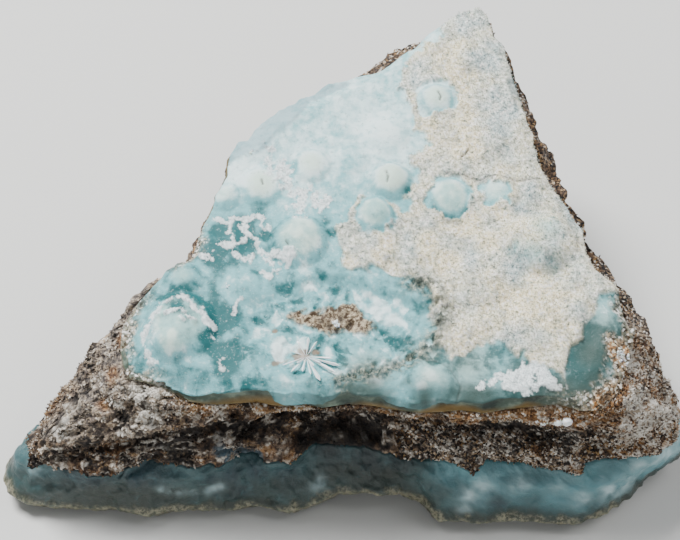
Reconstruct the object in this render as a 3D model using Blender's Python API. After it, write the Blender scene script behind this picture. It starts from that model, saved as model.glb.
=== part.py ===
"""Aurichalcite hand specimen: two blue crusts with a brown limonite matrix between them.

The upper crust is a sheet of low round domes that carries a spray of needles. The matrix
under it is broken in rough ledges, with crumbs of white crystal grown on them. The lower
crust is thick and its broken section stands out at the front. Lengths here are millimetres
and become metres where a mesh is written. +X runs right, the broken section faces -Y, +Z is
up, and the specimen rests on the round lumps under its lower crust, at Z = 0.
"""

import math

import bmesh
import bpy
import numpy as np
from mathutils import Matrix, Vector
from mathutils.geometry import delaunay_2d_cdt

METRES = 0.001
HEART = np.array([4.0, -8.0])
JOINT_GAP = 0.4

FACE_TILT = math.radians(10.0)
FACE_FRONT = -38.3
FACE_HEIGHT = 25.0
CRUST_THICK_FRONT = 3.1
CRUST_THICK_BACK = 2.3
CRUST_THICK_LEAST = 0.9
LOWER_HEIGHT = 10.4
LOWER_TILT = math.radians(2.5)

FRONT_STEP = 2.1
SIDE_STEP = 3.4
FRONT_LINE = -18.0
FACE_LATTICE = 2.35
CONTACT_LATTICE = 6.5
UNDERSIDE_LATTICE = 3.2

CRUST_ROWS = 3
ROWS_BETWEEN_RINGS = (2, 3, 3, 3, 3)
LOWER_ROWS = (2, 3, 2)
BED_HEIGHT = 3.9

# The broken edge of the upper crust, seen from above, anticlockwise from the front left.
CRUST_EDGE = [
    (-29.5, -24.9), (-25.1, -26.1), (-21.2, -28.0), (-17.4, -28.5), (-11.9, -28.2),
    (-9.8, -29.8), (-8.3, -30.4), (-5.3, -29.4), (-2.9, -29.7), (0.6, -28.9), (4.9, -29.3),
    (10.2, -30.0), (15.8, -29.5), (19.0, -30.0), (22.2, -29.4), (29.0, -28.8), (32.3, -29.8),
    (35.0, -29.7), (38.0, -26.8), (38.5, -24.5), (39.6, -21.1), (40.1, -19.0), (38.8, -15.3),
    (38.8, -13.4), (35.5, -9.6), (34.4, -7.5), (34.1, -3.5), (31.2, 1.9), (28.5, 7.7),
    (27.3, 13.8), (26.0, 19.2), (24.6, 24.4), (24.5, 27.0), (22.7, 29.7), (21.9, 33.2),
    (20.6, 34.8), (17.7, 33.8), (12.8, 30.0), (10.4, 27.3), (5.3, 24.1), (-1.9, 21.8),
    (-9.6, 17.2), (-13.0, 13.8), (-14.2, 12.0), (-15.6, 11.7), (-17.1, 9.4), (-17.2, 6.2),
    (-18.9, 1.5), (-21.5, -6.3), (-22.1, -7.9), (-25.0, -10.2), (-28.7, -15.4),
    (-30.0, -17.4), (-30.3, -20.5), (-30.0, -22.9),
]

# How far the foot of the crust stands outside its upper edge, by the direction from the heart.
CRUST_FLARE = [(-180, 0.3), (-152, -0.5), (-130, -0.4), (-100, 0.1), (-60, 0.6), (-35, 0.6),
               (0, 0.3), (75, 0.4), (130, 0.3), (180, 0.3)]

# Low round domes on the upper crust: centre, radius at the foot, height.
DOMES = [
    (13.7, 17.7, 3.0, 1.1), (6.8, 3.9, 3.3, 1.5), (4.4, -1.6, 3.1, 1.3), (15.3, 1.2, 3.7, 1.6),
    (28.1, -6.0, 5.4, 2.5), (22.0, 2.2, 3.2, 0.9), (-6.5, -5.5, 4.5, 1.8),
    (-12.1, 3.7, 3.5, 1.1), (-4.8, 6.7, 3.1, 1.0), (6.2, 11.8, 3.6, 0.6),
    (1.2, 7.7, 2.8, 0.5), (-23.0, -18.8, 5.4, 1.7), (-23.8, -21.4, 3.1, 2.6),
    (-15.1, -20.2, 1.9, 0.7), (-14.3, -12.1, 2.8, 0.8), (-23.0, -11.2, 2.9, 0.9),
    (-17.4, 2.4, 2.6, 0.9), (11.8, -26.6, 4.0, 0.9), (-11.4, -22.9, 2.8, 0.5),
    (20.5, 10.5, 3.4, 0.7), (19.0, 25.0, 3.0, 0.6), (31.0, -15.5, 4.2, 0.9),
    (20.0, -11.5, 4.6, 0.8), (23.5, -19.0, 4.2, 0.7),
]

# The shallow pocket broken in the middle of the upper crust.
POCKET_CENTRE = (0.2, -19.4)
POCKET_HALF = (15.0, 7.6)
POCKET_TURN = math.radians(-4.0)
POCKET_DEPTH = 1.5

# The broken chamfer along the upper left edge, and the plain one elsewhere.
WIDE_CHAMFER = (-12.5, 12.0, 11.5, 3.0, 1.6)
PLAIN_CHAMFER = (1.3, 0.6)

# How far the broken sides of the matrix are drawn in, by the direction from the heart.
MATRIX_TRIM = [(-180, 1.6), (-170, 0.3), (-166, 0.8), (-161, 1.6), (-156, 0.8), (-150, 0.0),
               (-30, 0.0), (-24, -0.5), (-16, 0.8), (-6, 0.8), (5, 0.2), (20, 0.2), (32, 1.0),
               (42, 1.6), (55, 1.2), (62, 0.3), (110, 0.0), (135, 0.4), (146, 1.4), (160, 1.7),
               (175, 1.9)]

# Lines traced round the broken matrix from its upper edge down: x, y, height.
MATRIX_BRINK = [
    (-44.9, -29.6, 12.3), (-39.5, -29.2, 15.4), (-34.0, -28.2, 18.8), (-29.5, -27.4, 21.3),
    (-24.0, -28.6, 21.4), (-16.0, -28.9, 21.6), (-8.5, -28.2, 21.9), (0.0, -27.8, 22.2),
    (8.0, -28.6, 22.2), (16.0, -30.2, 22.1), (25.0, -30.0, 21.9), (33.0, -30.6, 21.7),
    (39.0, -28.6, 22.4), (43.4, -24.6, 20.8), (43.6, -20.2, 21.9), (42.4, -16.6, 24.9),
    (39.4, -13.2, 27.4), (36.2, -8.2, 28.5), (34.9, -3.0, 28.9), (33.0, 2.0, 29.9),
    (30.3, 9.8, 31.3), (28.7, 13.8, 32.0), (27.0, 20.5, 32.8), (25.2, 26.2, 33.6),
    (22.6, 32.6, 34.4), (19.0, 34.3, 34.0), (13.6, 33.2, 33.0), (8.6, 31.6, 31.8),
    (4.6, 26.8, 31.8), (-3.0, 21.7, 31.2), (-11.0, 16.0, 30.4), (-17.3, 8.4, 29.6),
    (-20.0, 1.0, 29.4), (-22.6, -7.6, 29.6), (-25.8, -10.0, 29.0), (-29.8, -13.4, 27.0),
    (-33.5, -16.7, 24.2), (-37.0, -19.3, 21.2), (-40.3, -23.6, 17.2), (-43.4, -27.2, 13.8),
]
MATRIX_LIP = [
    (-45.2, -30.2, 11.9), (-40.0, -30.1, 13.6), (-34.0, -29.9, 16.2), (-28.0, -29.7, 18.6),
    (-20.0, -29.5, 19.0), (-13.0, -28.9, 19.4), (-8.0, -26.4, 19.9), (0.0, -24.8, 20.1),
    (8.0, -26.6, 20.2), (15.0, -29.0, 20.3), (25.0, -29.4, 20.2), (33.0, -30.2, 19.4),
    (39.5, -29.4, 18.6), (44.6, -26.4, 17.6), (46.4, -21.6, 18.3), (44.8, -17.2, 21.8),
    (41.2, -13.6, 24.6), (38.0, -7.2, 26.0), (36.2, -1.4, 26.4), (34.0, 4.4, 27.2),
    (31.6, 11.6, 28.2), (29.6, 18.2, 29.0), (27.2, 25.2, 30.2), (24.0, 32.4, 31.0),
    (19.0, 35.1, 30.6), (12.6, 34.8, 30.0), (7.2, 32.0, 29.2), (2.6, 27.0, 29.0),
    (-5.0, 22.2, 28.4), (-12.8, 16.6, 27.6), (-19.0, 9.0, 26.8), (-22.6, 1.0, 26.2),
    (-25.6, -6.4, 26.2), (-28.8, -9.8, 25.6), (-32.6, -13.6, 23.6), (-36.4, -17.2, 21.0),
    (-39.6, -21.0, 17.8), (-42.6, -25.2, 14.6), (-44.6, -28.2, 12.6),
]
MATRIX_CREVICE = [
    (-45.1, -30.2, 11.5), (-38.0, -29.9, 13.0), (-31.0, -28.6, 14.7), (-22.0, -27.4, 15.9),
    (-14.0, -24.6, 16.6), (-8.0, -20.6, 17.0), (0.0, -18.6, 17.2), (7.0, -20.0, 17.6),
    (13.0, -24.4, 17.9), (21.0, -26.8, 18.0), (29.0, -27.4, 17.5), (36.0, -28.3, 16.4),
    (42.0, -27.6, 15.6), (46.6, -25.0, 15.4), (47.6, -21.4, 15.8), (45.9, -16.6, 18.0),
    (42.4, -11.0, 19.6), (39.2, -3.8, 20.4), (36.2, 4.0, 21.2), (33.2, 13.0, 22.2),
    (29.8, 22.4, 23.0), (26.4, 30.0, 24.0), (20.4, 34.9, 24.6), (12.0, 34.4, 24.0),
    (3.6, 29.0, 23.2), (-6.6, 22.6, 22.4), (-15.8, 14.4, 21.6), (-21.8, 5.6, 20.8),
    (-26.0, -3.6, 20.0), (-31.0, -10.2, 19.2), (-36.4, -15.8, 17.4), (-41.0, -21.4, 15.0),
    (-44.4, -27.2, 12.6),
]
MATRIX_SHELF = [
    (-45.3, -30.6, 11.3), (-38.5, -31.0, 11.8), (-32.5, -31.3, 12.2), (-26.0, -29.5, 12.8),
    (-18.0, -29.4, 13.0), (-11.0, -27.8, 13.2), (-5.0, -25.0, 13.2), (1.0, -23.4, 13.3),
    (7.0, -25.6, 13.6), (13.0, -28.9, 13.9), (20.0, -30.2, 13.8), (28.0, -30.6, 13.4),
    (36.0, -30.4, 12.8), (43.0, -28.8, 12.6), (48.2, -25.8, 12.9), (48.2, -20.6, 13.4),
    (45.2, -13.4, 14.2), (41.2, -5.2, 14.8), (37.4, 3.6, 15.2), (34.0, 13.2, 15.6),
    (30.4, 22.6, 16.0), (26.2, 30.8, 16.4), (19.6, 34.4, 16.6), (10.6, 32.4, 16.4),
    (0.0, 26.8, 16.0), (-10.0, 20.4, 15.6), (-18.4, 12.2, 15.2), (-24.6, 3.2, 14.6),
    (-30.0, -5.8, 14.0), (-36.2, -13.4, 13.4), (-41.8, -20.4, 12.8), (-45.3, -26.8, 11.9),
]
MATRIX_FOOT = [
    (-45.2, -30.9), (-43.1, -29.9), (-40.2, -29.9), (-36.9, -31.7), (-33.9, -32.4),
    (-30.4, -30.7), (-29.6, -29.4), (-26.8, -29.5), (-24.1, -30.9), (-17.8, -30.7),
    (-15.0, -28.4), (-11.7, -29.0), (-8.2, -31.0), (-5.9, -28.5), (-4.1, -27.2), (3.2, -27.3),
    (7.9, -28.9), (12.6, -29.7), (16.6, -30.9), (18.8, -32.6), (20.9, -30.2), (25.2, -30.2),
    (31.0, -31.4), (33.3, -32.1), (36.6, -29.9), (44.7, -29.0), (48.6, -26.5), (48.9, -20.0),
    (45.6, -11.8), (41.6, -3.4), (37.6, 5.2), (34.0, 14.6), (30.4, 23.6), (25.8, 31.2),
    (19.0, 33.6), (9.4, 31.0), (-1.6, 25.2), (-11.8, 18.4), (-19.8, 10.6), (-26.0, 1.4),
    (-32.0, -7.8), (-38.4, -15.2), (-43.8, -21.6), (-46.0, -27.2),
]

# Lines round the lower crust below the matrix: x, y, height.
LOWER_BROW = [
    (-47.6, -29.0, 8.4), (-40.0, -31.2, 8.2), (-30.0, -31.6, 8.4), (-20.0, -31.3, 8.6),
    (-12.0, -30.0, 8.2), (-4.0, -28.6, 8.0), (4.0, -28.6, 8.2), (12.0, -30.8, 8.4),
    (20.0, -32.2, 8.2), (32.0, -32.8, 8.0), (40.0, -31.0, 8.2), (46.0, -28.2, 8.0),
    (49.4, -25.6, 7.4), (49.6, -19.4, 8.0), (46.2, -11.0, 8.6), (42.0, -2.4, 8.6),
    (38.2, 6.2, 8.8), (34.4, 15.4, 9.0), (30.4, 24.2, 9.2), (25.2, 31.6, 9.4),
    (18.2, 33.6, 9.4), (8.4, 30.4, 9.2), (-2.8, 24.6, 9.0), (-13.0, 17.8, 9.0),
    (-21.0, 10.0, 8.8), (-27.2, 0.8, 8.6), (-33.4, -8.6, 8.6), (-40.0, -16.0, 8.4),
    (-45.4, -22.2, 8.4), (-47.8, -27.0, 8.4),
]
LOWER_RIM = [
    (-50.2, -28.7, 3.0), (-49.2, -30.5, 2.8), (-46.5, -32.0, 2.6), (-41.6, -32.6, 2.5),
    (-32.7, -33.0, 2.3), (-28.6, -34.0, 2.3), (-26.0, -33.1, 2.4), (-15.3, -32.9, 2.4),
    (-10.8, -32.6, 2.4), (-8.4, -33.7, 2.5), (-5.3, -32.9, 3.0), (-1.2, -31.5, 4.4),
    (4.7, -31.4, 4.8), (8.1, -31.4, 4.6), (11.4, -32.1, 3.4), (13.9, -35.0, 2.6),
    (20.0, -35.3, 2.4), (25.6, -34.8, 2.3), (33.6, -35.3, 2.3), (37.4, -34.1, 2.4),
    (41.6, -31.4, 2.6), (44.5, -28.3, 3.0), (50.1, -24.4, 4.2), (50.0, -20.0, 4.0),
    (46.6, -10.4, 3.4), (42.0, -1.4, 3.2), (38.0, 7.4, 3.2), (34.0, 16.4, 3.2),
    (29.6, 25.0, 3.4), (24.0, 31.2, 3.6), (17.4, 32.8, 3.6), (7.4, 29.4, 3.4),
    (-4.0, 23.6, 3.2), (-14.2, 16.8, 3.2), (-22.0, 9.4, 3.2), (-28.2, 0.2, 3.2),
    (-34.6, -9.2, 3.2), (-41.4, -16.6, 3.2), (-47.4, -22.8, 3.4), (-50.0, -26.0, 3.2),
]
UNDERSIDE_INSET = 1.6
UNDERSIDE_RISE = 2.0

# Round lumps under the lower crust: centre, radius at the root. Their tips are worn flat.
FEET = [(-36.0, -25.5, 6.5), (36.5, -26.0, 7.0), (17.0, 23.5, 7.0), (2.0, -6.0, 8.0),
        (-17.0, -13.0, 6.5), (22.0, -9.0, 7.5), (-8.0, 9.5, 6.5), (27.0, 8.0, 6.5),
        (-21.5, -26.0, 5.5), (20.0, -27.5, 6.0), (6.0, 12.0, 6.0), (-27.5, -3.5, 5.0)]
LUMP_CELL = 8.0

# Needles of the white spray: direction in degrees, length.
SPRAY_CENTRE = (-5.3, -22.9)
SPRAY_ARMS = [(-112, 3.4), (-88, 3.6), (-66, 4.8), (-40, 3.8), (-14, 3.2), (12, 2.9),
              (38, 2.6), (66, 2.3), (98, 2.3), (128, 2.6), (152, 3.1), (180, 3.2),
              (206, 4.4), (230, 3.2)]
NEEDLE_HALF_WIDTH = 0.34
NEEDLE_STAND = 0.62
SPRAY_VALLEY = 1.25

# White crystals grown on the matrix: x, y, direction they stand out in, size, count.
CRYSTAL_PATCHES = [(-37.0, -27.6, 1.5, 5), (-34.6, -21.6, 1.3, 5), (-40.6, -26.6, 1.1, 4),
                   (43.6, -22.4, 1.3, 4), (45.4, -25.4, 1.1, 4)]
BEADS = [(27.1, -30.7, 21.6), (28.3, -30.9, 21.6), (29.5, -30.8, 21.6), (30.6, -30.7, 21.6)]
BEAD_RADIUS = 0.75


def lattice_value(ix, iy, iz, seed):
    """Gives one even random number between -1 and 1 for each whole-numbered lattice point."""
    mixed = (ix.astype(np.uint32) * np.uint32(374761393)
             + iy.astype(np.uint32) * np.uint32(668265263)
             + iz.astype(np.uint32) * np.uint32(2246822519)
             + np.uint32((seed * 3266489917) % 4294967296))
    mixed = (mixed ^ (mixed >> np.uint32(13))) * np.uint32(1274126177)
    mixed = mixed ^ (mixed >> np.uint32(16))
    return (mixed & np.uint32(65535)).astype(float) / 32767.5 - 1.0


def soft_noise(points, size, seed):
    """Blends the eight lattice values round each point with an eased weight along each axis."""
    scaled = points / size + 500.0
    whole = np.floor(scaled).astype(np.int64)
    part = scaled - whole
    ease = part * part * part * (part * (part * 6.0 - 15.0) + 10.0)
    total = np.zeros(len(points))
    for corner in range(8):
        step = np.array([corner & 1, (corner >> 1) & 1, (corner >> 2) & 1])
        weight = np.prod(np.where(step, ease, 1.0 - ease), axis=1)
        cell = whole + step
        total += weight * lattice_value(cell[:, 0], cell[:, 1], cell[:, 2], seed)
    return total


def rough_noise(points, size, seed, octaves=3):
    """Adds soft noise at halving sizes and halving strengths."""
    total = np.zeros(len(points))
    strength = 1.0
    for octave in range(octaves):
        total += strength * soft_noise(points, size * 0.5 ** octave, seed + octave)
        strength *= 0.5
    return total


def on_plane(xy):
    """Gives plan points a zero height, so that noise can be read there."""
    return np.column_stack([xy, np.zeros(len(xy))])


def direction_of(xy):
    """Gives each plan point's direction from the heart of the specimen, in radians."""
    return np.arctan2(xy[:, 1] - HEART[1], xy[:, 0] - HEART[0])


def reach_of(line, angles):
    """Reads how far a closed line lies from the heart in each direction, and its height."""
    points = np.array(line, dtype=float)
    if points.shape[1] == 2:
        points = on_plane(points)
    fine = []
    for start, stop in zip(points, np.roll(points, -1, axis=0)):
        steps = np.linspace(0.0, 1.0, 12, endpoint=False)[:, None]
        fine.append(start + (stop - start) * steps)
    fine = np.vstack(fine)
    bearing = direction_of(fine[:, :2])
    order = np.argsort(bearing)
    reach = np.hypot(fine[:, 0] - HEART[0], fine[:, 1] - HEART[1])
    turn = 2.0 * math.pi
    return (np.interp(angles, bearing[order], reach[order], period=turn),
            np.interp(angles, bearing[order], fine[order, 2], period=turn))


def at_reach(angles, reach):
    """Places plan points at a distance from the heart in each direction."""
    return HEART + np.column_stack([np.cos(angles), np.sin(angles)]) * reach[:, None]


def column_angles():
    """Spaces the columns of the walls along the matrix foot, closer at the visible front."""
    fine = np.linspace(-math.pi, math.pi, 1441)
    line = at_reach(fine, reach_of(MATRIX_FOOT, fine)[0])
    length = np.linalg.norm(np.diff(line, axis=0), axis=1)
    spacing = np.where(line[1:, 1] < FRONT_LINE, FRONT_STEP, SIDE_STEP)
    count = np.concatenate([[0.0], np.cumsum(length / spacing)])
    wanted = np.linspace(0.0, count[-1], int(round(count[-1])), endpoint=False)
    return np.interp(wanted, count, fine)


def distance_to_line(xy, line):
    """Gives each plan point's shortest distance to a closed line."""
    start = np.asarray(line)[None, :, :2]
    span = np.roll(start, -1, axis=1) - start
    offset = xy[:, None, :] - start
    along = np.clip((offset * span).sum(2) / (span * span).sum(2), 0.0, 1.0)
    return np.linalg.norm(offset - along[:, :, None] * span, axis=2).min(axis=1)


def face_plane(xy):
    """Gives the height of the tilted plane that the upper crust follows."""
    return FACE_HEIGHT + math.tan(FACE_TILT) * (xy[:, 1] - FACE_FRONT)


def upper_contact(xy):
    """Gives the height of the contact between the upper crust and the matrix."""
    along = np.clip((xy[:, 1] + 30.0) / 45.0, 0.0, 1.0)
    thick = CRUST_THICK_FRONT + (CRUST_THICK_BACK - CRUST_THICK_FRONT) * along
    wave = 0.45 * soft_noise(on_plane(xy), 9.0, 11) + 0.2 * soft_noise(on_plane(xy), 3.5, 12)
    return face_plane(xy) - thick + wave


def lower_contact(xy):
    """Gives the height of the contact between the matrix and the lower crust."""
    wave = 0.6 * soft_noise(on_plane(xy), 10.0, 21) + 0.3 * soft_noise(on_plane(xy), 4.0, 22)
    return LOWER_HEIGHT + math.tan(LOWER_TILT) * (xy[:, 1] + 30.0) + wave


def cap_height(xy, centre, radius, height):
    """Gives a round cap: full height at its centre, falling off as a parabola to its foot."""
    square = ((xy - np.array(centre)) ** 2).sum(1) / radius ** 2
    return height * np.clip(1.0 - square, 0.0, None)


def pocket_share(xy):
    """Gives 1 inside the broken pocket and 0 outside it, over a short ragged rim."""
    offset = xy - np.array(POCKET_CENTRE)
    cosine, sine = math.cos(POCKET_TURN), math.sin(POCKET_TURN)
    along = (offset[:, 0] * cosine + offset[:, 1] * sine) / POCKET_HALF[0]
    across = (offset[:, 1] * cosine - offset[:, 0] * sine) / POCKET_HALF[1]
    radius = np.hypot(along, across) + 0.12 * soft_noise(on_plane(xy), 4.0, 31)
    return np.clip((1.06 - radius) / 0.18, 0.0, 1.0)


def crust_face(xy):
    """Gives the upper crust's height: plane, broad swells, domes, pocket and chamfer."""
    swell = 0.7 * soft_noise(on_plane(xy), 17.0, 41) + 0.3 * soft_noise(on_plane(xy), 6.0, 42)
    caps = np.zeros(len(xy))
    for x, y, radius, height in DOMES:
        caps += cap_height(xy, (x, y), radius, height) ** 4
    pocket = POCKET_DEPTH * pocket_share(xy)
    edge = distance_to_line(xy, CRUST_EDGE)
    x, y, half, width, drop = WIDE_CHAMFER
    wide = np.clip(1.6 - np.hypot(xy[:, 0] - x - 5.0, xy[:, 1] - y - 4.0) / half, 0.0, 1.0)
    reach = PLAIN_CHAMFER[0] + (width - PLAIN_CHAMFER[0]) * wide
    depth = PLAIN_CHAMFER[1] + (drop - PLAIN_CHAMFER[1]) * wide
    chamfer = depth * np.clip(1.0 - edge / reach, 0.0, 1.0)
    face = face_plane(xy) + swell + caps ** 0.25 - pocket - chamfer
    return np.maximum(face, upper_contact(xy) + 0.5 * JOINT_GAP + CRUST_THICK_LEAST)


def hex_lattice(angles, reach, spacing, margin, seed):
    """Fills the ring with a jittered triangular lattice that stays a margin inside it."""
    rows = np.arange(-60.0, 60.0, spacing * math.sqrt(0.75))
    columns = np.arange(-60.0, 60.0, spacing)
    grid_y, grid_x = np.meshgrid(rows, columns, indexing="ij")
    grid_x = grid_x + 0.5 * spacing * (np.arange(len(rows)) % 2)[:, None]
    xy = np.column_stack([grid_x.ravel(), grid_y.ravel()])
    jitter = np.column_stack([soft_noise(on_plane(xy), 1.7, seed),
                              soft_noise(on_plane(xy), 1.7, seed + 1)])
    xy = xy + 0.28 * spacing * jitter
    limit = np.interp(direction_of(xy), angles, reach, period=2.0 * math.pi)
    inside = np.hypot(*(xy - HEART).T) < limit - 0.1
    xy = xy[inside]
    ring = at_reach(angles, reach)
    return xy[distance_to_line(xy, ring) > margin]


def clear_of(xy, others, distance):
    """Keeps the plan points that stay a distance away from every one of the others."""
    if len(others) == 0:
        return xy
    gap = np.linalg.norm(xy[:, None, :] - others[None, :, :], axis=2).min(axis=1)
    return xy[gap > distance]


def dome_points(angles, reach, domes):
    """Puts a point on each dome's centre and rings of points half way out and at its foot."""
    kept = np.zeros((0, 2))
    for x, y, radius, *_ in domes:
        points = [np.array([[x, y]])]
        for share, count in ((0.52, 6), (1.0, 12)):
            turn = np.arange(count) * 2.0 * math.pi / count + share
            points.append(np.column_stack([x + radius * share * np.cos(turn),
                                           y + radius * share * np.sin(turn)]))
        kept = np.vstack([kept, clear_of(np.vstack(points), kept, 0.8)])
    limit = np.interp(direction_of(kept), angles, reach, period=2.0 * math.pi)
    kept = kept[np.hypot(*(kept - HEART).T) < limit - 0.1]
    return kept[distance_to_line(kept, at_reach(angles, reach)) > 0.8]


def inside_ring(xy, ring):
    """Tells which plan points a closed ring surrounds, by counting its crossings beside them."""
    start, stop = ring[None, :, :], np.roll(ring, -1, axis=0)[None, :, :]
    x, y = xy[:, 0, None], xy[:, 1, None]
    spans = (start[:, :, 1] > y) != (stop[:, :, 1] > y)
    rise = np.where(spans, stop[:, :, 1] - start[:, :, 1], 1.0)
    crossing = start[:, :, 0] + (y - start[:, :, 1]) * (stop[:, :, 0] - start[:, :, 0]) / rise
    return (spans & (crossing > x)).sum(axis=1) % 2 == 1


def spray_points():
    """Gives the needles' ridge, flank and valley points, and how far each one stands up."""
    points = [np.array(SPRAY_CENTRE)]
    stands = [NEEDLE_STAND]
    for index, (direction, length) in enumerate(SPRAY_ARMS):
        turn = math.radians(direction)
        along = np.array([math.cos(turn), math.sin(turn)])
        side = np.array([-along[1], along[0]]) * NEEDLE_HALF_WIDTH
        for share, across, stand in ((0.45, 0, 1.0), (0.78, 0, 0.8), (1.0, 0, 0.0),
                                     (0.62, 1, 0.0), (0.62, -1, 0.0)):
            points.append(points[0] + along * length * share + side * across)
            stands.append(NEEDLE_STAND * stand)
        following = SPRAY_ARMS[(index + 1) % len(SPRAY_ARMS)][0]
        between = math.radians(direction + ((following - direction) % 360.0) / 2.0)
        valley = np.array([math.cos(between), math.sin(between)]) * SPRAY_VALLEY
        points.append(points[0] + valley)
        stands.append(0.0)
    return np.array(points), np.array(stands)


def filled(ring, inner):
    """Triangulates the inner points inside the ring; the ring's points come first."""
    plan = np.vstack([ring, inner])
    outline = [(i, (i + 1) % len(ring)) for i in range(len(ring))]
    result = delaunay_2d_cdt([Vector(p) for p in plan], outline, [], 1, 1e-6, False)
    triangles = np.array([list(face) for face in result[2]])
    triangles = triangles[inside_ring(plan[triangles].mean(axis=1), ring)]
    corners = plan[triangles]
    first = corners[:, 1] - corners[:, 0]
    second = corners[:, 2] - corners[:, 0]
    turned = first[:, 0] * second[:, 1] - first[:, 1] * second[:, 0] < 0.0
    triangles[turned] = triangles[turned][:, ::-1]
    return triangles


def close_layer(top_inner, rows, bottom_inner):
    """Joins a top sheet, rows of wall points and a bottom sheet into one closed shell."""
    count = len(rows[0])
    points = np.vstack(rows + [top_inner, bottom_inner])
    last = (len(rows) - 1) * count
    top_start = len(rows) * count
    bottom_start = top_start + len(top_inner)
    top = filled(rows[0][:, :2], top_inner[:, :2])
    top = np.where(top < count, top, top - count + top_start)
    bottom = filled(rows[-1][:, :2], bottom_inner[:, :2])
    bottom = np.where(bottom < count, bottom + last, bottom - count + bottom_start)
    here = np.arange(count)
    after = (here + 1) % count
    walls = []
    for row in range(len(rows) - 1):
        upper, lower = row * count, (row + 1) * count
        walls.append(np.column_stack([upper + here, lower + here, lower + after]))
        walls.append(np.column_stack([upper + here, lower + after, upper + after]))
    return points, np.vstack([top, bottom[:, ::-1]] + walls)


def rows_between(lines, counts, angles, shift):
    """Carries the wall from each line to the next, with rough noise pushed into its rows."""
    reaches = [reach_of(line, angles) for line in lines]
    rows = []
    for (reach_a, high_a), (reach_b, high_b), count in zip(reaches, reaches[1:], counts):
        for step in range(count):
            share = step / count
            reach = reach_a + (reach_b - reach_a) * share
            height = high_a + (high_b - high_a) * share
            rows.append(shift(angles, reach, height))
    rows.append(shift(angles, *reaches[-1]))
    return rows


def upper_crust_shell(angles):
    """Builds the upper crust between its domed face and the contact with the matrix."""
    edge, _ = reach_of(CRUST_EDGE, angles)
    flare = np.interp(np.degrees(angles), *np.array(CRUST_FLARE).T)
    rows = []
    for step in range(CRUST_ROWS + 1):
        share = step / CRUST_ROWS
        xy = at_reach(angles, edge + flare * share)
        low = upper_contact(xy) + 0.5 * JOINT_GAP
        high = crust_face(xy)
        height = high + (low - high) * share
        if 0 < step < CRUST_ROWS:
            rough = rough_noise(np.column_stack([xy, height]), 3.0, 51)
            reach = edge + flare * share + 0.35 * rough
            xy = at_reach(angles, np.minimum(reach, np.maximum(edge, edge + flare)))
        rows.append(np.column_stack([xy, height]))
    spray, stands = spray_points()
    domes = clear_of(dome_points(angles, edge, DOMES), spray, 0.9)
    lattice = hex_lattice(angles, edge, FACE_LATTICE, 1.3, 61)
    lattice = clear_of(clear_of(lattice, domes, 1.25), spray, 0.9)
    top = np.vstack([spray, domes, lattice])
    top = np.column_stack([top, crust_face(top)])
    top[:len(spray), 2] += stands
    bottom = hex_lattice(angles, edge + flare, CONTACT_LATTICE, 2.4, 63)
    bottom = np.column_stack([bottom, upper_contact(bottom) + 0.5 * JOINT_GAP])
    return close_layer(top, rows, bottom)


def matrix_shell(angles):
    """Builds the broken matrix between its two contacts, with ledges and a deep crevice."""
    edge, _ = reach_of(CRUST_EDGE, angles)
    brim = edge + np.interp(np.degrees(angles), *np.array(CRUST_FLARE).T)
    brim_xy = at_reach(angles, brim)
    top_ring = np.column_stack([brim_xy, upper_contact(brim_xy) - 0.5 * JOINT_GAP])
    foot, _ = reach_of(MATRIX_FOOT, angles)
    foot_xy = at_reach(angles, foot)
    foot_ring = np.column_stack([foot_xy, lower_contact(foot_xy) + 0.5 * JOINT_GAP])
    trim = np.interp(np.degrees(angles), *np.array(MATRIX_TRIM).T, period=360.0)

    def shift(angles, reach, height):
        reach = reach - trim
        flat = np.column_stack([at_reach(angles, reach), height])
        wild = np.clip((flat[:, 1] + 24.0) / 20.0, 0.0, 1.0)
        rough = (0.6 + 0.7 * wild) * rough_noise(flat, 7.0, 71)
        rough += 0.4 * rough_noise(flat, 2.6, 75, 2)
        bed = (height + 1.5 * soft_noise(flat * np.array([1.0, 1.0, 0.2]), 9.0, 79)) / BED_HEIGHT
        ledge = (0.7 + 0.7 * wild) * (bed - np.floor(bed) - 0.5)
        xy = at_reach(angles, reach + rough + ledge)
        height = height + 0.35 * soft_noise(flat, 5.0, 83)
        low = lower_contact(xy) + 0.5 * JOINT_GAP + 0.15
        high = upper_contact(xy) - 0.5 * JOINT_GAP - 0.4
        return np.column_stack([xy, np.clip(height, low, high)])

    inner_lines = [MATRIX_BRINK, MATRIX_LIP, MATRIX_CREVICE, MATRIX_SHELF]
    inside = rows_between(inner_lines, ROWS_BETWEEN_RINGS[1:4], angles, shift)
    first, last = inside[0], inside[-1]
    rows = [top_ring]
    for step in range(1, ROWS_BETWEEN_RINGS[0]):
        rows.append(top_ring + (first - top_ring) * step / ROWS_BETWEEN_RINGS[0])
    rows += inside
    for step in range(1, ROWS_BETWEEN_RINGS[4]):
        rows.append(last + (foot_ring - last) * step / ROWS_BETWEEN_RINGS[4])
    rows.append(foot_ring)
    top = hex_lattice(angles, brim, CONTACT_LATTICE, 2.4, 63)
    top = np.column_stack([top, upper_contact(top) - 0.5 * JOINT_GAP])
    bottom = hex_lattice(angles, foot, CONTACT_LATTICE, 2.4, 65)
    bottom = np.column_stack([bottom, lower_contact(bottom) + 0.5 * JOINT_GAP])
    return close_layer(top, rows, bottom)


def underside(xy):
    """Gives the height of the lower crust's underside: round lumps with worn flat tips."""
    lumps = np.full(len(xy), 0.0)
    for x, y, radius in FEET:
        lumps = np.maximum(lumps, cap_height(xy, (x, y), radius, 1.9 * UNDERSIDE_RISE))
    small = 0.45 * UNDERSIDE_RISE * (1.0 + soft_noise(on_plane(xy), LUMP_CELL * 0.6, 91))
    deep = UNDERSIDE_RISE * 1.25 - np.maximum(lumps, np.minimum(small, UNDERSIDE_RISE))
    return np.clip(deep, 0.0, None)


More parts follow.
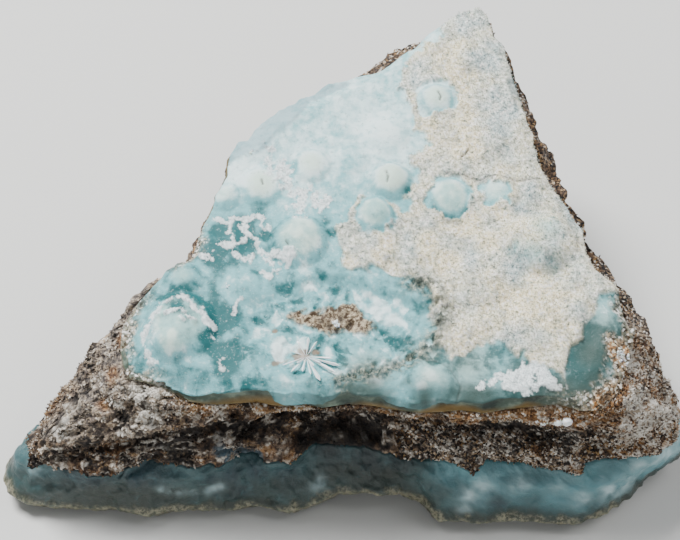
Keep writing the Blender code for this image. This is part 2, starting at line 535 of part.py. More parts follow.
def lower_crust_shell(angles):
    """Builds the lower crust, whose broken section stands out below the matrix."""
    foot, _ = reach_of(MATRIX_FOOT, angles)
    foot_xy = at_reach(angles, foot)
    top_ring = np.column_stack([foot_xy, lower_contact(foot_xy) - 0.5 * JOINT_GAP])
    rim, rim_height = reach_of(LOWER_RIM, angles)

    def shift(angles, reach, height):
        flat = np.column_stack([at_reach(angles, reach), height])
        share = np.clip((height - 2.2) / 3.0, 0.0, 1.0)
        rough = 0.55 * rough_noise(flat, 5.0, 101) * share
        xy = at_reach(angles, reach + rough)
        high = lower_contact(xy) - 0.5 * JOINT_GAP - 0.2
        return np.column_stack([xy, np.minimum(height, high)])

    inside = rows_between([LOWER_BROW, LOWER_RIM], LOWER_ROWS[1:2], angles, shift)
    first, last = inside[0], inside[-1]
    rows = [top_ring]
    for step in range(1, LOWER_ROWS[0]):
        rows.append(top_ring + (first - top_ring) * step / LOWER_ROWS[0])
    rows += inside
    under_xy = at_reach(angles, rim - UNDERSIDE_INSET)
    under_ring = np.column_stack([under_xy, underside(under_xy)])
    under_ring[:, 2] = np.minimum(under_ring[:, 2] * 0.35, last[:, 2] - 0.8)
    under_ring[:, 2] = np.maximum(under_ring[:, 2], np.clip(rim_height - 2.9, 0.05, None))
    for step in range(1, LOWER_ROWS[2]):
        rows.append(last + (under_ring - last) * step / LOWER_ROWS[2])
    rows.append(under_ring)
    top = hex_lattice(angles, foot, CONTACT_LATTICE, 2.4, 65)
    top = np.column_stack([top, lower_contact(top) - 0.5 * JOINT_GAP])
    reach = rim - UNDERSIDE_INSET
    feet = dome_points(angles, reach, FEET)
    lattice = hex_lattice(angles, reach, UNDERSIDE_LATTICE, 1.8, 67)
    bottom = np.vstack([feet, clear_of(lattice, feet, 1.5)])
    bottom = np.column_stack([bottom, underside(bottom)])
    return close_layer(top, rows, bottom)


def mesh_object(name, points, triangles, collection):
    """Makes a mesh object from points in millimetres and whole arrays of triangles."""
    mesh = bpy.data.meshes.new(name)
    mesh.from_pydata(points * METRES, [], triangles.tolist())
    mesh.update()
    piece = bpy.data.objects.new(name, mesh)
    collection.objects.link(piece)
    return piece


def crystal(foot, lean, size, seed, collection):
    """Makes one blunt six-sided crystal that stands out along its lean."""
    rng = np.random.default_rng(seed)
    shape = bmesh.new()
    bmesh.ops.create_cone(shape, cap_ends=True, segments=6, radius1=size * 0.55,
                          radius2=size * 0.3, depth=size * 1.7)
    lean = Vector(lean) + Vector(rng.uniform(-0.6, 0.6, 3).tolist())
    turn = lean.to_track_quat("Z", "Y").to_matrix().to_4x4()
    spin = Matrix.Rotation(rng.uniform(0.0, math.tau), 4, "Z")
    place = Matrix.Translation(Vector(foot)) @ turn @ spin @ Matrix.Translation((0.0, 0.0, size * 0.4))
    bmesh.ops.transform(shape, matrix=place, verts=shape.verts)
    bmesh.ops.triangulate(shape, faces=shape.faces)
    return finished(shape, "crystal", collection)


def bead(centre, radius, collection):
    """Makes one small round white bead."""
    shape = bmesh.new()
    bmesh.ops.create_icosphere(shape, subdivisions=1, radius=radius)
    bmesh.ops.translate(shape, vec=Vector(centre), verts=shape.verts)
    return finished(shape, "bead", collection)


def finished(shape, name, collection):
    """Turns a bmesh in millimetres into an object in metres."""
    bmesh.ops.scale(shape, vec=(METRES, METRES, METRES), verts=shape.verts)
    mesh = bpy.data.meshes.new(name)
    shape.to_mesh(mesh)
    shape.free()
    piece = bpy.data.objects.new(name, mesh)
    collection.objects.link(piece)
    return piece


def surface_below(piece, x, y):
    """Finds the point and the normal of a piece straight below a plan point."""
    start = Vector((x, y, 80.0)) * METRES
    hit, place, normal, _ = piece.ray_cast(start, Vector((0.0, 0.0, -1.0)))
    if not hit:
        raise ValueError(f"nothing of {piece.name} lies under {x}, {y}")
    return np.array(place) / METRES, np.array(normal)


def crystals_on(matrix, collection):
    """Grows the small patches of white crystals where they sit on the broken matrix."""
    for patch, (x, y, size, count) in enumerate(CRYSTAL_PATCHES):
        for index in range(count):
            turn = 2.4 * index
            spread = size * 0.8 * math.sqrt(index)
            spot, normal = surface_below(matrix, x + spread * math.cos(turn),
                                         y + spread * math.sin(turn))
            crystal(spot - 0.2 * size * normal, normal, size, 200 + 10 * patch + index,
                    collection)


def joined_to(piece, additions):
    """Fuses a collection of small growths to the piece they grow from."""
    union = piece.modifiers.new("grown together", "BOOLEAN")
    union.operation = "UNION"
    union.operand_type = "COLLECTION"
    union.collection = additions
    union.solver = "EXACT"


def paint(piece, name, colour, roughness):
    """Gives a piece its own plain material."""
    material = bpy.data.materials.new(name)
    material.use_nodes = True
    shader = material.node_tree.nodes["Principled BSDF"]
    shader.inputs["Base Color"].default_value = (*colour, 1.0)
    shader.inputs["Roughness"].default_value = roughness
    shader.inputs["Metallic"].default_value = 0.0
    piece.data.materials.append(material)


def new_collection(name):
    """Adds a collection to the scene."""
    collection = bpy.data.collections.new(name)
    bpy.context.scene.collection.children.link(collection)
    return collection


def hide_helpers(collection):
    """Marks the pieces that only shape others."""
    for helper in collection.objects:
        helper.hide_render = True
        helper.display_type = "WIRE"


def centre_on_origin(pieces, helpers):
    """Moves every mesh so that the middle of the specimen's base is the origin."""
    corners = np.vstack([[vertex.co[:] for vertex in piece.data.vertices] for piece in pieces])
    low, high = corners.min(axis=0), corners.max(axis=0)
    offset = Vector((-(low[0] + high[0]) / 2.0, -(low[1] + high[1]) / 2.0, -low[2]))
    for piece in list(pieces) + list(helpers):
        piece.data.transform(Matrix.Translation(offset))
    size = (high - low) / METRES
    print("size in mm", np.round(size, 2), "moved by", np.round(np.array(offset) / METRES, 3))


def build():
    """Models the whole specimen."""
    for piece in list(bpy.data.objects):
        bpy.data.objects.remove(piece)
    specimen = new_collection("aurichalcite specimen")
    on_matrix = new_collection("crystals on the matrix")
    angles = column_angles()

    crust = mesh_object("upper_crust", *upper_crust_shell(angles), specimen)
    matrix = mesh_object("matrix", *matrix_shell(angles), specimen)
    lower = mesh_object("lower_crust", *lower_crust_shell(angles), specimen)

    crystals_on(matrix, on_matrix)
    for centre in BEADS:
        bead(centre, BEAD_RADIUS, on_matrix)
    centre_on_origin((crust, matrix, lower), on_matrix.objects)
    hide_helpers(on_matrix)
    joined_to(matrix, on_matrix)

    paint(crust, "pale blue crust", (0.50, 0.62, 0.62), 0.5)
    paint(matrix, "brown limonite", (0.17, 0.13, 0.10), 0.85)
    paint(lower, "deep blue crust", (0.08, 0.18, 0.22), 0.35)


build()
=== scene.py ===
# %% [markdown]
# # A hand specimen of aurichalcite
#
# The real thing is one broken piece that grew in three layers: a pale blue crust of low round
# domes on top, a brown limonite matrix, and a thick translucent blue crust below it. The packed
# solids are the frame. This lesson makes each layer again as a fine surface round the same
# outlines, then grows the small crystals that are too many for a solid.

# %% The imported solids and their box
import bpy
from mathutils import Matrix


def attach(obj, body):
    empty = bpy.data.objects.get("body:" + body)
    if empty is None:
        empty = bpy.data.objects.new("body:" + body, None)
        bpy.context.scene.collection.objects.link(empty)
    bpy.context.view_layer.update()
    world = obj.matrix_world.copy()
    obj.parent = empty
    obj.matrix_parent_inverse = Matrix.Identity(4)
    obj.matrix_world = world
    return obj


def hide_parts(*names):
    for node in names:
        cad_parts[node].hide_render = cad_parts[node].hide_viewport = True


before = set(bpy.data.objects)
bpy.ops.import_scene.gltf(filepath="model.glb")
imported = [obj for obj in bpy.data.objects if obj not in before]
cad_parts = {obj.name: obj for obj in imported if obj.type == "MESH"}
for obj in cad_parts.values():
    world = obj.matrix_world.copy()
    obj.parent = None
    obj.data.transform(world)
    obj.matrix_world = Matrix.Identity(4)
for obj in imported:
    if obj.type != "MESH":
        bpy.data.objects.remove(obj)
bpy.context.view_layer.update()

import math

import bpy
import numpy as np
from mathutils import Vector
from mathutils.geometry import delaunay_2d_cdt

# %% [markdown]
# ## The sketch's units
#
# The outlines below were measured in millimetres from the middle of the photographed piece. The
# solids were moved a little so that the middle of their box is the origin, and the same move is
# made here whenever points go into a mesh. Small named sizes are easier to read in millimetres.

# %% The sketch and its move into the frame
METRES = 0.001
MOVE = np.array([-0.048, -0.244, 0.0])
HEART = np.array([4.0, -8.0])


def in_frame(points):
    """Turns sketch points in millimetres into frame points in metres."""
    return (np.asarray(points, dtype=float) + MOVE) * METRES


# %% [markdown]
# ## Camera, floor and light
#
# The specimen is seen from above its front edge. A long lens keeps the sides of the triangle
# nearly straight. One large soft light stands behind on the left, as the bright upper face and
# the shaded front section show. A weak one fills from the right, and a weaker one, like a white
# card in front, lifts the shaded section.

# %% The camera looks down at the broken front
VIEW_ELEVATION = math.radians(52.0)
VIEW_DISTANCE = 268.0
VIEW_CENTRE = (-0.6, -10.3, 30.0)
LENS_MM = 100.0
SENSOR_MM = 36.0

away = np.array([0.0, -math.cos(VIEW_ELEVATION), math.sin(VIEW_ELEVATION)])
camera = bpy.data.objects.new("camera", bpy.data.cameras.new("camera"))
camera.data.lens = LENS_MM
camera.data.sensor_width = SENSOR_MM
camera.data.clip_start = 0.01
camera.location = in_frame(np.array(VIEW_CENTRE) + away * VIEW_DISTANCE)
camera.rotation_euler = (math.pi / 2.0 - VIEW_ELEVATION, 0.0, 0.0)
bpy.context.scene.collection.objects.link(camera)
bpy.context.scene.camera = camera

# %% A pale, flat floor, in metres
FLOOR_HALF = 0.9
FLOOR_COLOUR = (0.62, 0.62, 0.60, 1.0)
floor_corners = [(-FLOOR_HALF, -FLOOR_HALF, 0.0), (FLOOR_HALF, -FLOOR_HALF, 0.0),
                 (FLOOR_HALF, FLOOR_HALF, 0.0), (-FLOOR_HALF, FLOOR_HALF, 0.0)]
floor_mesh = bpy.data.meshes.new("floor")
floor_mesh.from_pydata(floor_corners, [], [(0, 1, 2, 3)])
floor = bpy.data.objects.new("floor", floor_mesh)
bpy.context.scene.collection.objects.link(floor)
floor_finish = bpy.data.materials.new("pale paper")
floor_finish.use_nodes = True
floor_shader = floor_finish.node_tree.nodes["Principled BSDF"]
floor_shader.inputs["Base Color"].default_value = FLOOR_COLOUR
floor_shader.inputs["Roughness"].default_value = 0.9
floor_mesh.materials.append(floor_finish)
print("floor:", 2.0 * FLOOR_HALF, "m wide")

# %% Soft light from the left and behind, and two weak fills: place and width in metres, watts
LIGHTS = {"window": ((-0.30, 0.26, 0.66), 0.30, 13.3), "fill": ((0.50, 0.10, 0.60), 0.50, 3.0),
          "front card": ((-0.15, -0.75, 0.30), 0.40, 1.5)}
SKY_COLOUR = (0.86, 0.92, 1.0, 1.0)
SKY_STRENGTH = 0.22
for light_name, (light_spot, light_width, watts) in LIGHTS.items():
    lamp = bpy.data.lights.new(light_name, "AREA")
    lamp.size = light_width
    lamp.energy = watts
    holder = bpy.data.objects.new(light_name, lamp)
    holder.location = light_spot
    holder.rotation_euler = (-Vector(light_spot)).to_track_quat("-Z", "Y").to_euler()
    bpy.context.scene.collection.objects.link(holder)
world = bpy.data.worlds.new("studio")
world.use_nodes = True
world.node_tree.nodes["Background"].inputs["Color"].default_value = SKY_COLOUR
world.node_tree.nodes["Background"].inputs["Strength"].default_value = SKY_STRENGTH
bpy.context.scene.world = world
print("camera and", len(LIGHTS), "lights placed")

# %% [markdown]
# ## Noise for stone
#
# Broken rock has no smooth repeat, so each surface is roughened with value noise: random
# numbers at whole-numbered points, blended with an eased weight. Summing it at halving sizes
# gives large lumps with smaller ones on them. A second kind measures the distance to scattered
# seeds, which gives grains and cells. Both work on whole arrays.

# %% Value noise
AXIS_FACTORS = (374761393, 668265263, 2246822519)
SEED_FACTOR = 3266489917
SCRAMBLE_FACTOR = 1274126177
LOW_BITS = 65535
LATTICE_SHIFT = 500.0


def lattice_value(ix, iy, iz, seed):
    """Gives one even random number between -1 and 1 for each whole-numbered lattice point.

    The three whole numbers and the seed are each multiplied by a large odd number and added.
    The sum's bits are scrambled, and its lowest 16 bits are the random number.
    """
    scrambled = np.uint32((seed * SEED_FACTOR) % 2 ** 32)
    for numbers, factor in zip((ix, iy, iz), AXIS_FACTORS):
        scrambled = scrambled + numbers.astype(np.uint32) * np.uint32(factor)
    scrambled = (scrambled ^ (scrambled >> np.uint32(13))) * np.uint32(SCRAMBLE_FACTOR)
    scrambled = scrambled ^ (scrambled >> np.uint32(16))
    return (scrambled & np.uint32(LOW_BITS)).astype(float) / (0.5 * LOW_BITS) - 1.0


def soft_noise(points, size, seed):
    """Blends the eight lattice values round each point with an eased weight along each axis."""
    scaled = points / size + LATTICE_SHIFT
    whole = np.floor(scaled).astype(np.int64)
    part = scaled - whole
    ease = part * part * part * (part * (part * 6.0 - 15.0) + 10.0)
    total = np.zeros(len(points))
    for corner in range(8):
        step = np.array([corner & 1, (corner >> 1) & 1, (corner >> 2) & 1])
        weight = np.prod(np.where(step, ease, 1.0 - ease), axis=1)
        cell = whole + step
        total += weight * lattice_value(cell[:, 0], cell[:, 1], cell[:, 2], seed)
    return total


def rough_noise(points, size, seed, octaves=3):
    """Adds soft noise at halving sizes and halving strengths."""
    total = np.zeros(len(points))
    strength = 1.0
    for octave in range(octaves):
        total += strength * soft_noise(points, size * 0.5 ** octave, seed + octave)
        strength *= 0.5
    return total


def on_plane(xy):
    """Gives plan points a zero height, so that noise can be read there."""
    return np.column_stack([xy, np.zeros(len(xy))])


# %% Cells round scattered seeds
def cell_noise(points, size, seed):
    """Scatters one seed in each cube and gives the distances to the nearest two and a value.

    The distances are in cubes, and the value is the nearest seed's own random number. Points
    that all lie at one height need only the seeds in their own sheet of cubes.
    """
    scaled = points / size + LATTICE_SHIFT
    whole = np.floor(scaled).astype(np.int64)
    nearest = np.full(len(points), 9.0)
    second = np.full(len(points), 9.0)
    value = np.zeros(len(points))
    flat = np.ptp(points[:, 2]) == 0.0
    for step in np.ndindex(3, 3, 1 if flat else 3):
        cell = whole + np.array(step) - np.array([1, 1, 0 if flat else 1])
        spot = [cell[:, axis] + 0.5 + 0.45 * lattice_value(*cell.T, seed + axis)
                for axis in range(3)]
        offsets = [(scaled[:, axis] - spot[axis]) ** 2 for axis in range(2 if flat else 3)]
        gap = np.sqrt(sum(offsets))
        closer = gap < nearest
        second = np.where(closer, nearest, np.minimum(second, gap))
        value = np.where(closer, lattice_value(*cell.T, seed + 7), value)
        nearest = np.where(closer, gap, nearest)
    return nearest, second, value


def smooth(low, high, value):
    """Rises from 0 at low to 1 at high with eased ends."""
    share = np.clip((value - low) / (high - low), 0.0, 1.0)
    return share * share * (3.0 - 2.0 * share)


# %% [markdown]
# ## The outlines that the layers share
#
# These are the solids' lines, read a little more closely in a few places: the broken edge of
# the upper crust, the ledges of the matrix and the rim of the lower crust. They were traced from
# the photograph and closed by judgement at the back, which it doesn't show. Every wall below is
# carried along them, in millimetres, and directions in the tables are in degrees.

# %% The upper crust's edge and its domes
# A dome is x, y, radius and height, a worn corner or ragged edge is x, y and radius, and the flare
# says how far the crust's foot stands out from its edge in each direction.
FACE_TILT = math.radians(10.0)
FACE_FRONT = -38.3
FACE_HEIGHT = 25.0
CRUST_THICK_FRONT = 3.1
CRUST_THICK_BACK = 2.3
CRUST_THICK_LEAST = 0.9
HALF_GAP = 0.2          # half of the gap that stands for the bond between two layers

CRUST_EDGE = [
    (-29.5, -24.9), (-25.1, -26.1), (-21.2, -28.0), (-17.4, -28.5), (-11.9, -28.2),
    (-9.8, -28.7), (-8.3, -28.9), (-5.3, -28.7), (-2.9, -29.4), (0.6, -28.9), (4.9, -29.3),
    (10.2, -30.0), (15.8, -29.5), (19.0, -30.0), (22.2, -29.4), (29.0, -28.8), (32.3, -29.8),
    (35.0, -29.7), (38.0, -26.8), (38.5, -24.5), (39.6, -21.1), (40.1, -19.0), (38.8, -15.3),
    (38.8, -13.4), (35.5, -9.6), (34.4, -7.5), (34.1, -3.5), (31.2, 1.9), (28.5, 7.7),
    (27.3, 13.8), (26.0, 19.2), (24.6, 24.4), (24.5, 27.0), (22.7, 29.7), (21.9, 33.2),
    (20.6, 34.8), (17.7, 33.8), (12.8, 30.0), (10.4, 27.3), (5.3, 24.1), (-1.9, 21.8),
    (-9.6, 17.2), (-13.0, 13.8), (-14.2, 12.0), (-15.6, 11.7), (-17.1, 9.4), (-17.2, 6.2),
    (-18.9, 1.5), (-21.5, -6.3), (-22.1, -7.9), (-25.5, -10.0), (-29.3, -14.8),
    (-30.6, -17.2), (-30.7, -20.5), (-30.2, -22.9),
]
CRUST_FLARE = [(-180, 0.6), (-152, 0.9), (-135, 0.5), (-100, 0.1), (-60, 0.6), (-35, 0.6),
               (0, 0.3), (75, 0.4), (130, 0.3), (180, 0.3)]
DOMES = [
    (13.7, 17.7, 3.0, 1.1), (6.8, 3.9, 3.3, 1.5), (4.4, -1.6, 3.1, 1.3), (15.3, 1.2, 3.7, 1.6),
    (28.1, -6.0, 5.4, 2.5), (22.0, 2.2, 3.2, 0.9), (-6.5, -5.5, 4.5, 1.8),
    (-12.1, 3.7, 3.5, 1.1), (-4.8, 6.7, 3.1, 1.0), (6.2, 11.8, 3.6, 0.6),
    (1.2, 7.7, 2.8, 0.5), (-23.0, -18.8, 5.4, 1.7), (-23.8, -21.4, 3.1, 2.1),
    (-15.1, -20.2, 1.9, 0.3), (-14.3, -12.1, 2.8, 0.4), (-23.0, -11.2, 2.9, 0.9),
    (-17.4, 2.4, 2.6, 0.9), (11.8, -26.6, 4.0, 0.9), (-11.4, -22.9, 2.8, 0.5),
    (20.5, 10.5, 3.4, 0.7), (19.0, 25.0, 3.0, 0.6), (31.0, -15.5, 4.2, 0.9),
    (20.0, -11.5, 4.6, 0.8), (23.5, -19.0, 4.2, 0.7),
]
POCKET_CENTRE = (0.2, -19.4)
POCKET_HALF = (15.0, 7.6)
POCKET_TURN = math.radians(-4.0)
POCKET_DEPTH = 1.0
WIDE_CHAMFER = (-12.5, 12.0, 11.5, 3.0, 1.6)
WORN_CORNERS = [(-31.0, -20.0, 6.0), (-29.0, -26.0, 6.5), (-23.0, -28.5, 5.0), (38.5, -28.5, 6.0),
                (40.5, -22.0, 4.0)]
RAGGED_EDGES = [(-30.0, -21.0, 8.0), (-25.0, -27.0, 6.0), (38.5, -27.0, 7.0), (40.0, -19.0, 4.0)]
PLAIN_CHAMFER = (1.3, 0.6)
print("upper crust:", len(CRUST_EDGE), "points on its edge,", len(DOMES), "domes")

# %% The matrix's ledges, from its upper edge down: x, y, height
# The two trims say how far the ledges are drawn in, in each direction.
LOWER_HEIGHT = 10.4
LOWER_TILT = math.radians(2.5)
BED_HEIGHT = 3.9
MATRIX_TRIM = [(-180, 1.6), (-170, 0.3), (-166, 0.8), (-161, 1.6), (-156, 0.8), (-150, 0.0),
               (-30, 0.0), (-24, -0.5), (-16, 0.8), (-6, 0.8), (5, 0.2), (20, 0.2), (32, 1.0),
               (42, 1.6), (55, 1.2), (62, 0.3), (110, 0.0), (135, 0.4), (146, 1.4), (160, 1.7),
               (175, 1.9)]
LEFT_TRIM = [(-180, 1.0), (-174, 0.6), (-168, 0.0), (100, 0.0), (140, 0.6), (155, 1.0), (172, 1.2)]
MATRIX_BRINK = [
    (-44.9, -29.6, 12.3), (-39.5, -29.2, 15.4), (-34.0, -28.2, 18.8), (-29.5, -27.4, 21.3),
    (-24.0, -28.6, 21.4), (-16.0, -28.9, 21.6), (-8.5, -28.2, 21.9), (0.0, -27.8, 22.2),
    (8.0, -28.6, 22.2), (16.0, -30.2, 22.1), (25.0, -30.0, 21.9), (33.0, -30.6, 21.7),
    (39.0, -28.6, 22.4), (43.4, -24.6, 20.8), (43.6, -20.2, 21.9), (42.4, -16.6, 24.9),
    (39.4, -13.2, 27.4), (36.2, -8.2, 28.5), (34.9, -3.0, 28.9), (33.0, 2.0, 29.9),
    (30.3, 9.8, 31.3), (28.7, 13.8, 32.0), (27.0, 20.5, 32.8), (25.2, 26.2, 33.6),
    (22.6, 32.6, 34.4), (19.0, 34.3, 34.0), (13.6, 33.2, 33.0), (8.6, 31.6, 31.8),
    (4.6, 26.8, 31.8), (-3.0, 21.7, 31.2), (-11.0, 16.0, 30.4), (-17.3, 8.4, 29.6),
    (-20.0, 1.0, 29.4), (-22.6, -7.6, 29.6), (-25.8, -10.0, 29.0), (-29.8, -13.4, 27.0),
    (-33.5, -16.7, 24.2), (-37.0, -19.3, 21.2), (-40.3, -23.6, 17.2), (-43.4, -27.2, 13.8),
]
MATRIX_LIP = [
    (-45.2, -30.2, 11.9), (-40.0, -30.1, 13.6), (-34.0, -29.9, 16.2), (-28.0, -29.7, 18.6),
    (-20.0, -29.5, 19.0), (-13.0, -28.9, 19.4), (-8.0, -26.4, 19.9), (0.0, -24.8, 20.1),
    (8.0, -26.6, 20.2), (15.0, -29.0, 20.3), (25.0, -29.4, 20.2), (33.0, -30.2, 19.4),
    (39.5, -29.4, 18.6), (44.6, -26.4, 17.6), (46.4, -21.6, 18.3), (44.8, -17.2, 21.8),
    (41.2, -13.6, 24.6), (38.0, -7.2, 26.0), (36.2, -1.4, 26.4), (34.0, 4.4, 27.2),
    (31.6, 11.6, 28.2), (29.6, 18.2, 29.0), (27.2, 25.2, 30.2), (24.0, 32.4, 31.0),
    (19.0, 35.1, 30.6), (12.6, 34.8, 30.0), (7.2, 32.0, 29.2), (2.6, 27.0, 29.0),
    (-5.0, 22.2, 28.4), (-12.8, 16.6, 27.6), (-19.0, 9.0, 26.8), (-22.6, 1.0, 26.2),
    (-25.6, -6.4, 26.2), (-28.8, -9.8, 25.6), (-32.6, -13.6, 23.6), (-36.4, -17.2, 21.0),
    (-39.6, -21.0, 17.8), (-42.6, -25.2, 14.6), (-44.6, -28.2, 12.6),
]
MATRIX_CREVICE = [
    (-45.1, -30.2, 11.5), (-38.0, -29.9, 13.0), (-31.0, -28.6, 14.7), (-22.0, -27.4, 15.9),
    (-14.0, -24.6, 16.6), (-8.0, -20.6, 17.0), (0.0, -18.6, 17.2), (7.0, -20.0, 17.6),
    (13.0, -24.4, 17.9), (21.0, -26.8, 18.0), (29.0, -27.4, 17.5), (36.0, -28.3, 16.4),
    (42.0, -27.6, 15.6), (46.6, -25.0, 15.4), (47.6, -21.4, 15.8), (45.9, -16.6, 18.0),
    (42.4, -11.0, 19.6), (39.2, -3.8, 20.4), (36.2, 4.0, 21.2), (33.2, 13.0, 22.2),
    (29.8, 22.4, 23.0), (26.4, 30.0, 24.0), (20.4, 34.9, 24.6), (12.0, 34.4, 24.0),
    (3.6, 29.0, 23.2), (-6.6, 22.6, 22.4), (-15.8, 14.4, 21.6), (-21.8, 5.6, 20.8),
    (-26.0, -3.6, 20.0), (-31.0, -10.2, 19.2), (-36.4, -15.8, 17.4), (-41.0, -21.4, 15.0),
    (-44.4, -27.2, 12.6),
]
MATRIX_SHELF = [
    (-45.3, -30.6, 11.3), (-38.5, -31.0, 11.8), (-32.5, -31.3, 12.2), (-26.0, -29.5, 12.8),
    (-18.0, -29.4, 13.0), (-11.0, -27.8, 13.2), (-5.0, -25.0, 13.2), (1.0, -23.4, 13.3),
    (7.0, -25.6, 13.6), (13.0, -28.9, 13.9), (20.0, -30.2, 13.8), (28.0, -30.6, 13.4),
    (36.0, -30.4, 12.8), (43.0, -28.8, 12.6), (48.2, -25.8, 12.9), (48.2, -20.6, 13.4),
    (45.2, -13.4, 14.2), (41.2, -5.2, 14.8), (37.4, 3.6, 15.2), (34.0, 13.2, 15.6),
    (30.4, 22.6, 16.0), (26.2, 30.8, 16.4), (19.6, 34.4, 16.6), (10.6, 32.4, 16.4),
    (0.0, 26.8, 16.0), (-10.0, 20.4, 15.6), (-18.4, 12.2, 15.2), (-24.6, 3.2, 14.6),
    (-30.0, -5.8, 14.0), (-36.2, -13.4, 13.4), (-41.8, -20.4, 12.8), (-45.3, -26.8, 11.9),
]
MATRIX_FOOT = [
    (-45.2, -30.9), (-43.1, -29.9), (-40.2, -29.9), (-36.9, -31.7), (-33.9, -32.4),
    (-30.4, -30.7), (-29.6, -29.4), (-26.8, -29.5), (-24.1, -30.9), (-17.8, -30.7),
    (-15.0, -28.4), (-11.7, -29.0), (-8.2, -31.0), (-5.9, -28.5), (-4.1, -27.2), (3.2, -27.3),
    (7.9, -28.9), (12.6, -29.7), (16.6, -30.9), (18.8, -32.6), (20.9, -30.2), (25.2, -30.2),
    (31.0, -31.4), (33.3, -32.1), (36.6, -29.9), (44.7, -29.0), (48.6, -26.5), (48.9, -20.0),
    (45.6, -11.8), (41.6, -3.4), (37.6, 5.2), (34.0, 14.6), (30.4, 23.6), (25.8, 31.2),
    (19.0, 33.6), (9.4, 31.0), (-1.6, 25.2), (-11.8, 18.4), (-19.8, 10.6), (-26.0, 1.4),
    (-32.0, -7.8), (-38.4, -15.2), (-43.8, -21.6), (-46.0, -27.2),
]
print("matrix:", len(MATRIX_BRINK), "points on its brink,", len(MATRIX_FOOT), "on its foot")

# %% The lower crust's brow and rim, x, y, height, and the lumps that it rests on, x, y, radius
LOWER_BROW = [
    (-47.6, -29.0, 8.4), (-40.0, -31.2, 8.2), (-30.0, -31.6, 8.4), (-20.0, -31.3, 8.6),
    (-12.0, -30.0, 8.2), (-4.0, -28.6, 8.0), (4.0, -28.6, 8.2), (12.0, -30.8, 8.4),
    (20.0, -32.2, 8.2), (32.0, -32.8, 8.0), (40.0, -31.0, 8.2), (46.0, -28.2, 8.0),
    (49.4, -25.6, 7.4), (49.6, -19.4, 8.0), (46.2, -11.0, 8.6), (42.0, -2.4, 8.6),
    (38.2, 6.2, 8.8), (34.4, 15.4, 9.0), (30.4, 24.2, 9.2), (25.2, 31.6, 9.4),
    (18.2, 33.6, 9.4), (8.4, 30.4, 9.2), (-2.8, 24.6, 9.0), (-13.0, 17.8, 9.0),
    (-21.0, 10.0, 8.8), (-27.2, 0.8, 8.6), (-33.4, -8.6, 8.6), (-40.0, -16.0, 8.4),
    (-45.4, -22.2, 8.4), (-47.8, -27.0, 8.4),
]
LOWER_RIM = [
    (-50.2, -28.7, 3.0), (-49.2, -30.5, 2.8), (-46.5, -32.0, 2.6), (-41.6, -32.6, 2.5),
    (-32.7, -33.0, 2.3), (-28.6, -34.0, 2.3), (-26.0, -33.1, 2.4), (-15.3, -32.9, 2.4),
    (-10.8, -32.6, 2.4), (-8.4, -33.7, 2.5), (-5.3, -32.9, 3.0), (-1.2, -31.5, 4.4),
    (4.7, -31.4, 4.8), (8.1, -31.4, 4.6), (11.4, -32.1, 3.4), (13.9, -35.0, 2.6),
    (20.0, -35.3, 2.4), (25.6, -34.8, 2.3), (33.6, -35.3, 2.3), (37.4, -34.1, 2.4),
    (41.6, -31.4, 2.6), (44.5, -28.3, 3.0), (50.1, -24.4, 4.2), (50.0, -20.0, 4.0),
    (46.6, -10.4, 3.4), (42.0, -1.4, 3.2), (38.0, 7.4, 3.2), (34.0, 16.4, 3.2),
    (29.6, 25.0, 3.4), (24.0, 31.2, 3.6), (17.4, 32.8, 3.6), (7.4, 29.4, 3.4),
    (-4.0, 23.6, 3.2), (-14.2, 16.8, 3.2), (-22.0, 9.4, 3.2), (-28.2, 0.2, 3.2),
    (-34.6, -9.2, 3.2), (-41.4, -16.6, 3.2), (-47.4, -22.8, 3.4), (-50.0, -26.0, 3.2),
]
UNDERSIDE_INSET = 1.6
UNDERSIDE_RISE = 2.0
FEET = [(-36.0, -25.5, 6.5), (36.5, -26.0, 7.0), (17.0, 23.5, 7.0), (2.0, -6.0, 8.0),
        (-17.0, -13.0, 6.5), (22.0, -9.0, 7.5), (-8.0, 9.5, 6.5), (27.0, 8.0, 6.5),
        (-21.5, -26.0, 5.5), (20.0, -27.5, 6.0), (6.0, 12.0, 6.0), (-27.5, -3.5, 5.0)]
LUMP_CELL = 8.0
print("lower crust:", len(LOWER_RIM), "points on its rim,", len(FEET), "lumps to rest on")

# %% [markdown]
# ## From a traced line to a wall
#
# Each outline can be seen whole from one point near its middle, the heart. So a line gives one
# distance and one height for each direction from the heart, and any two lines can be joined
# column by column. Spots, paths and areas on the surfaces are found by their distance in plan or
# in space.

# %% Reading a traced line from the heart of the specimen
WHOLE_TURN = 2.0 * math.pi
FRONT_LINE = -18.0
FRONT_BLEND = 3.0


def direction_of(xy):
    """Gives each plan point's direction from the heart of the specimen, in radians."""
    return np.arctan2(xy[:, 1] - HEART[1], xy[:, 0] - HEART[0])


def distance_out(xy):
    """Gives each plan point's distance from the heart of the specimen."""
    return np.hypot(*(xy - HEART).T)


def read_table(table, values, period=None):
    """Reads a table of places and amounts at each value, straight between its entries."""
    return np.interp(values, *np.array(table).T, period=period)


def reach_of(line, angles):
    """Reads how far a closed line lies from the heart in each direction, and its height."""
    points = np.array(line, dtype=float)
    if points.shape[1] == 2:
        points = on_plane(points)
    steps = np.linspace(0.0, 1.0, 12, endpoint=False)[None, :, None]
    fine = points[:, None, :] + (np.roll(points, -1, axis=0) - points)[:, None, :] * steps
    fine = fine.reshape(-1, 3)
    bearing = direction_of(fine[:, :2])
    order = np.argsort(bearing)
    reach = distance_out(fine[:, :2])
    return (np.interp(angles, bearing[order], reach[order], period=WHOLE_TURN),
            np.interp(angles, bearing[order], fine[order, 2], period=WHOLE_TURN))


def at_reach(angles, reach):
    """Places plan points at a distance from the heart in each direction."""
    return HEART + np.column_stack([np.cos(angles), np.sin(angles)]) * reach[:, None]


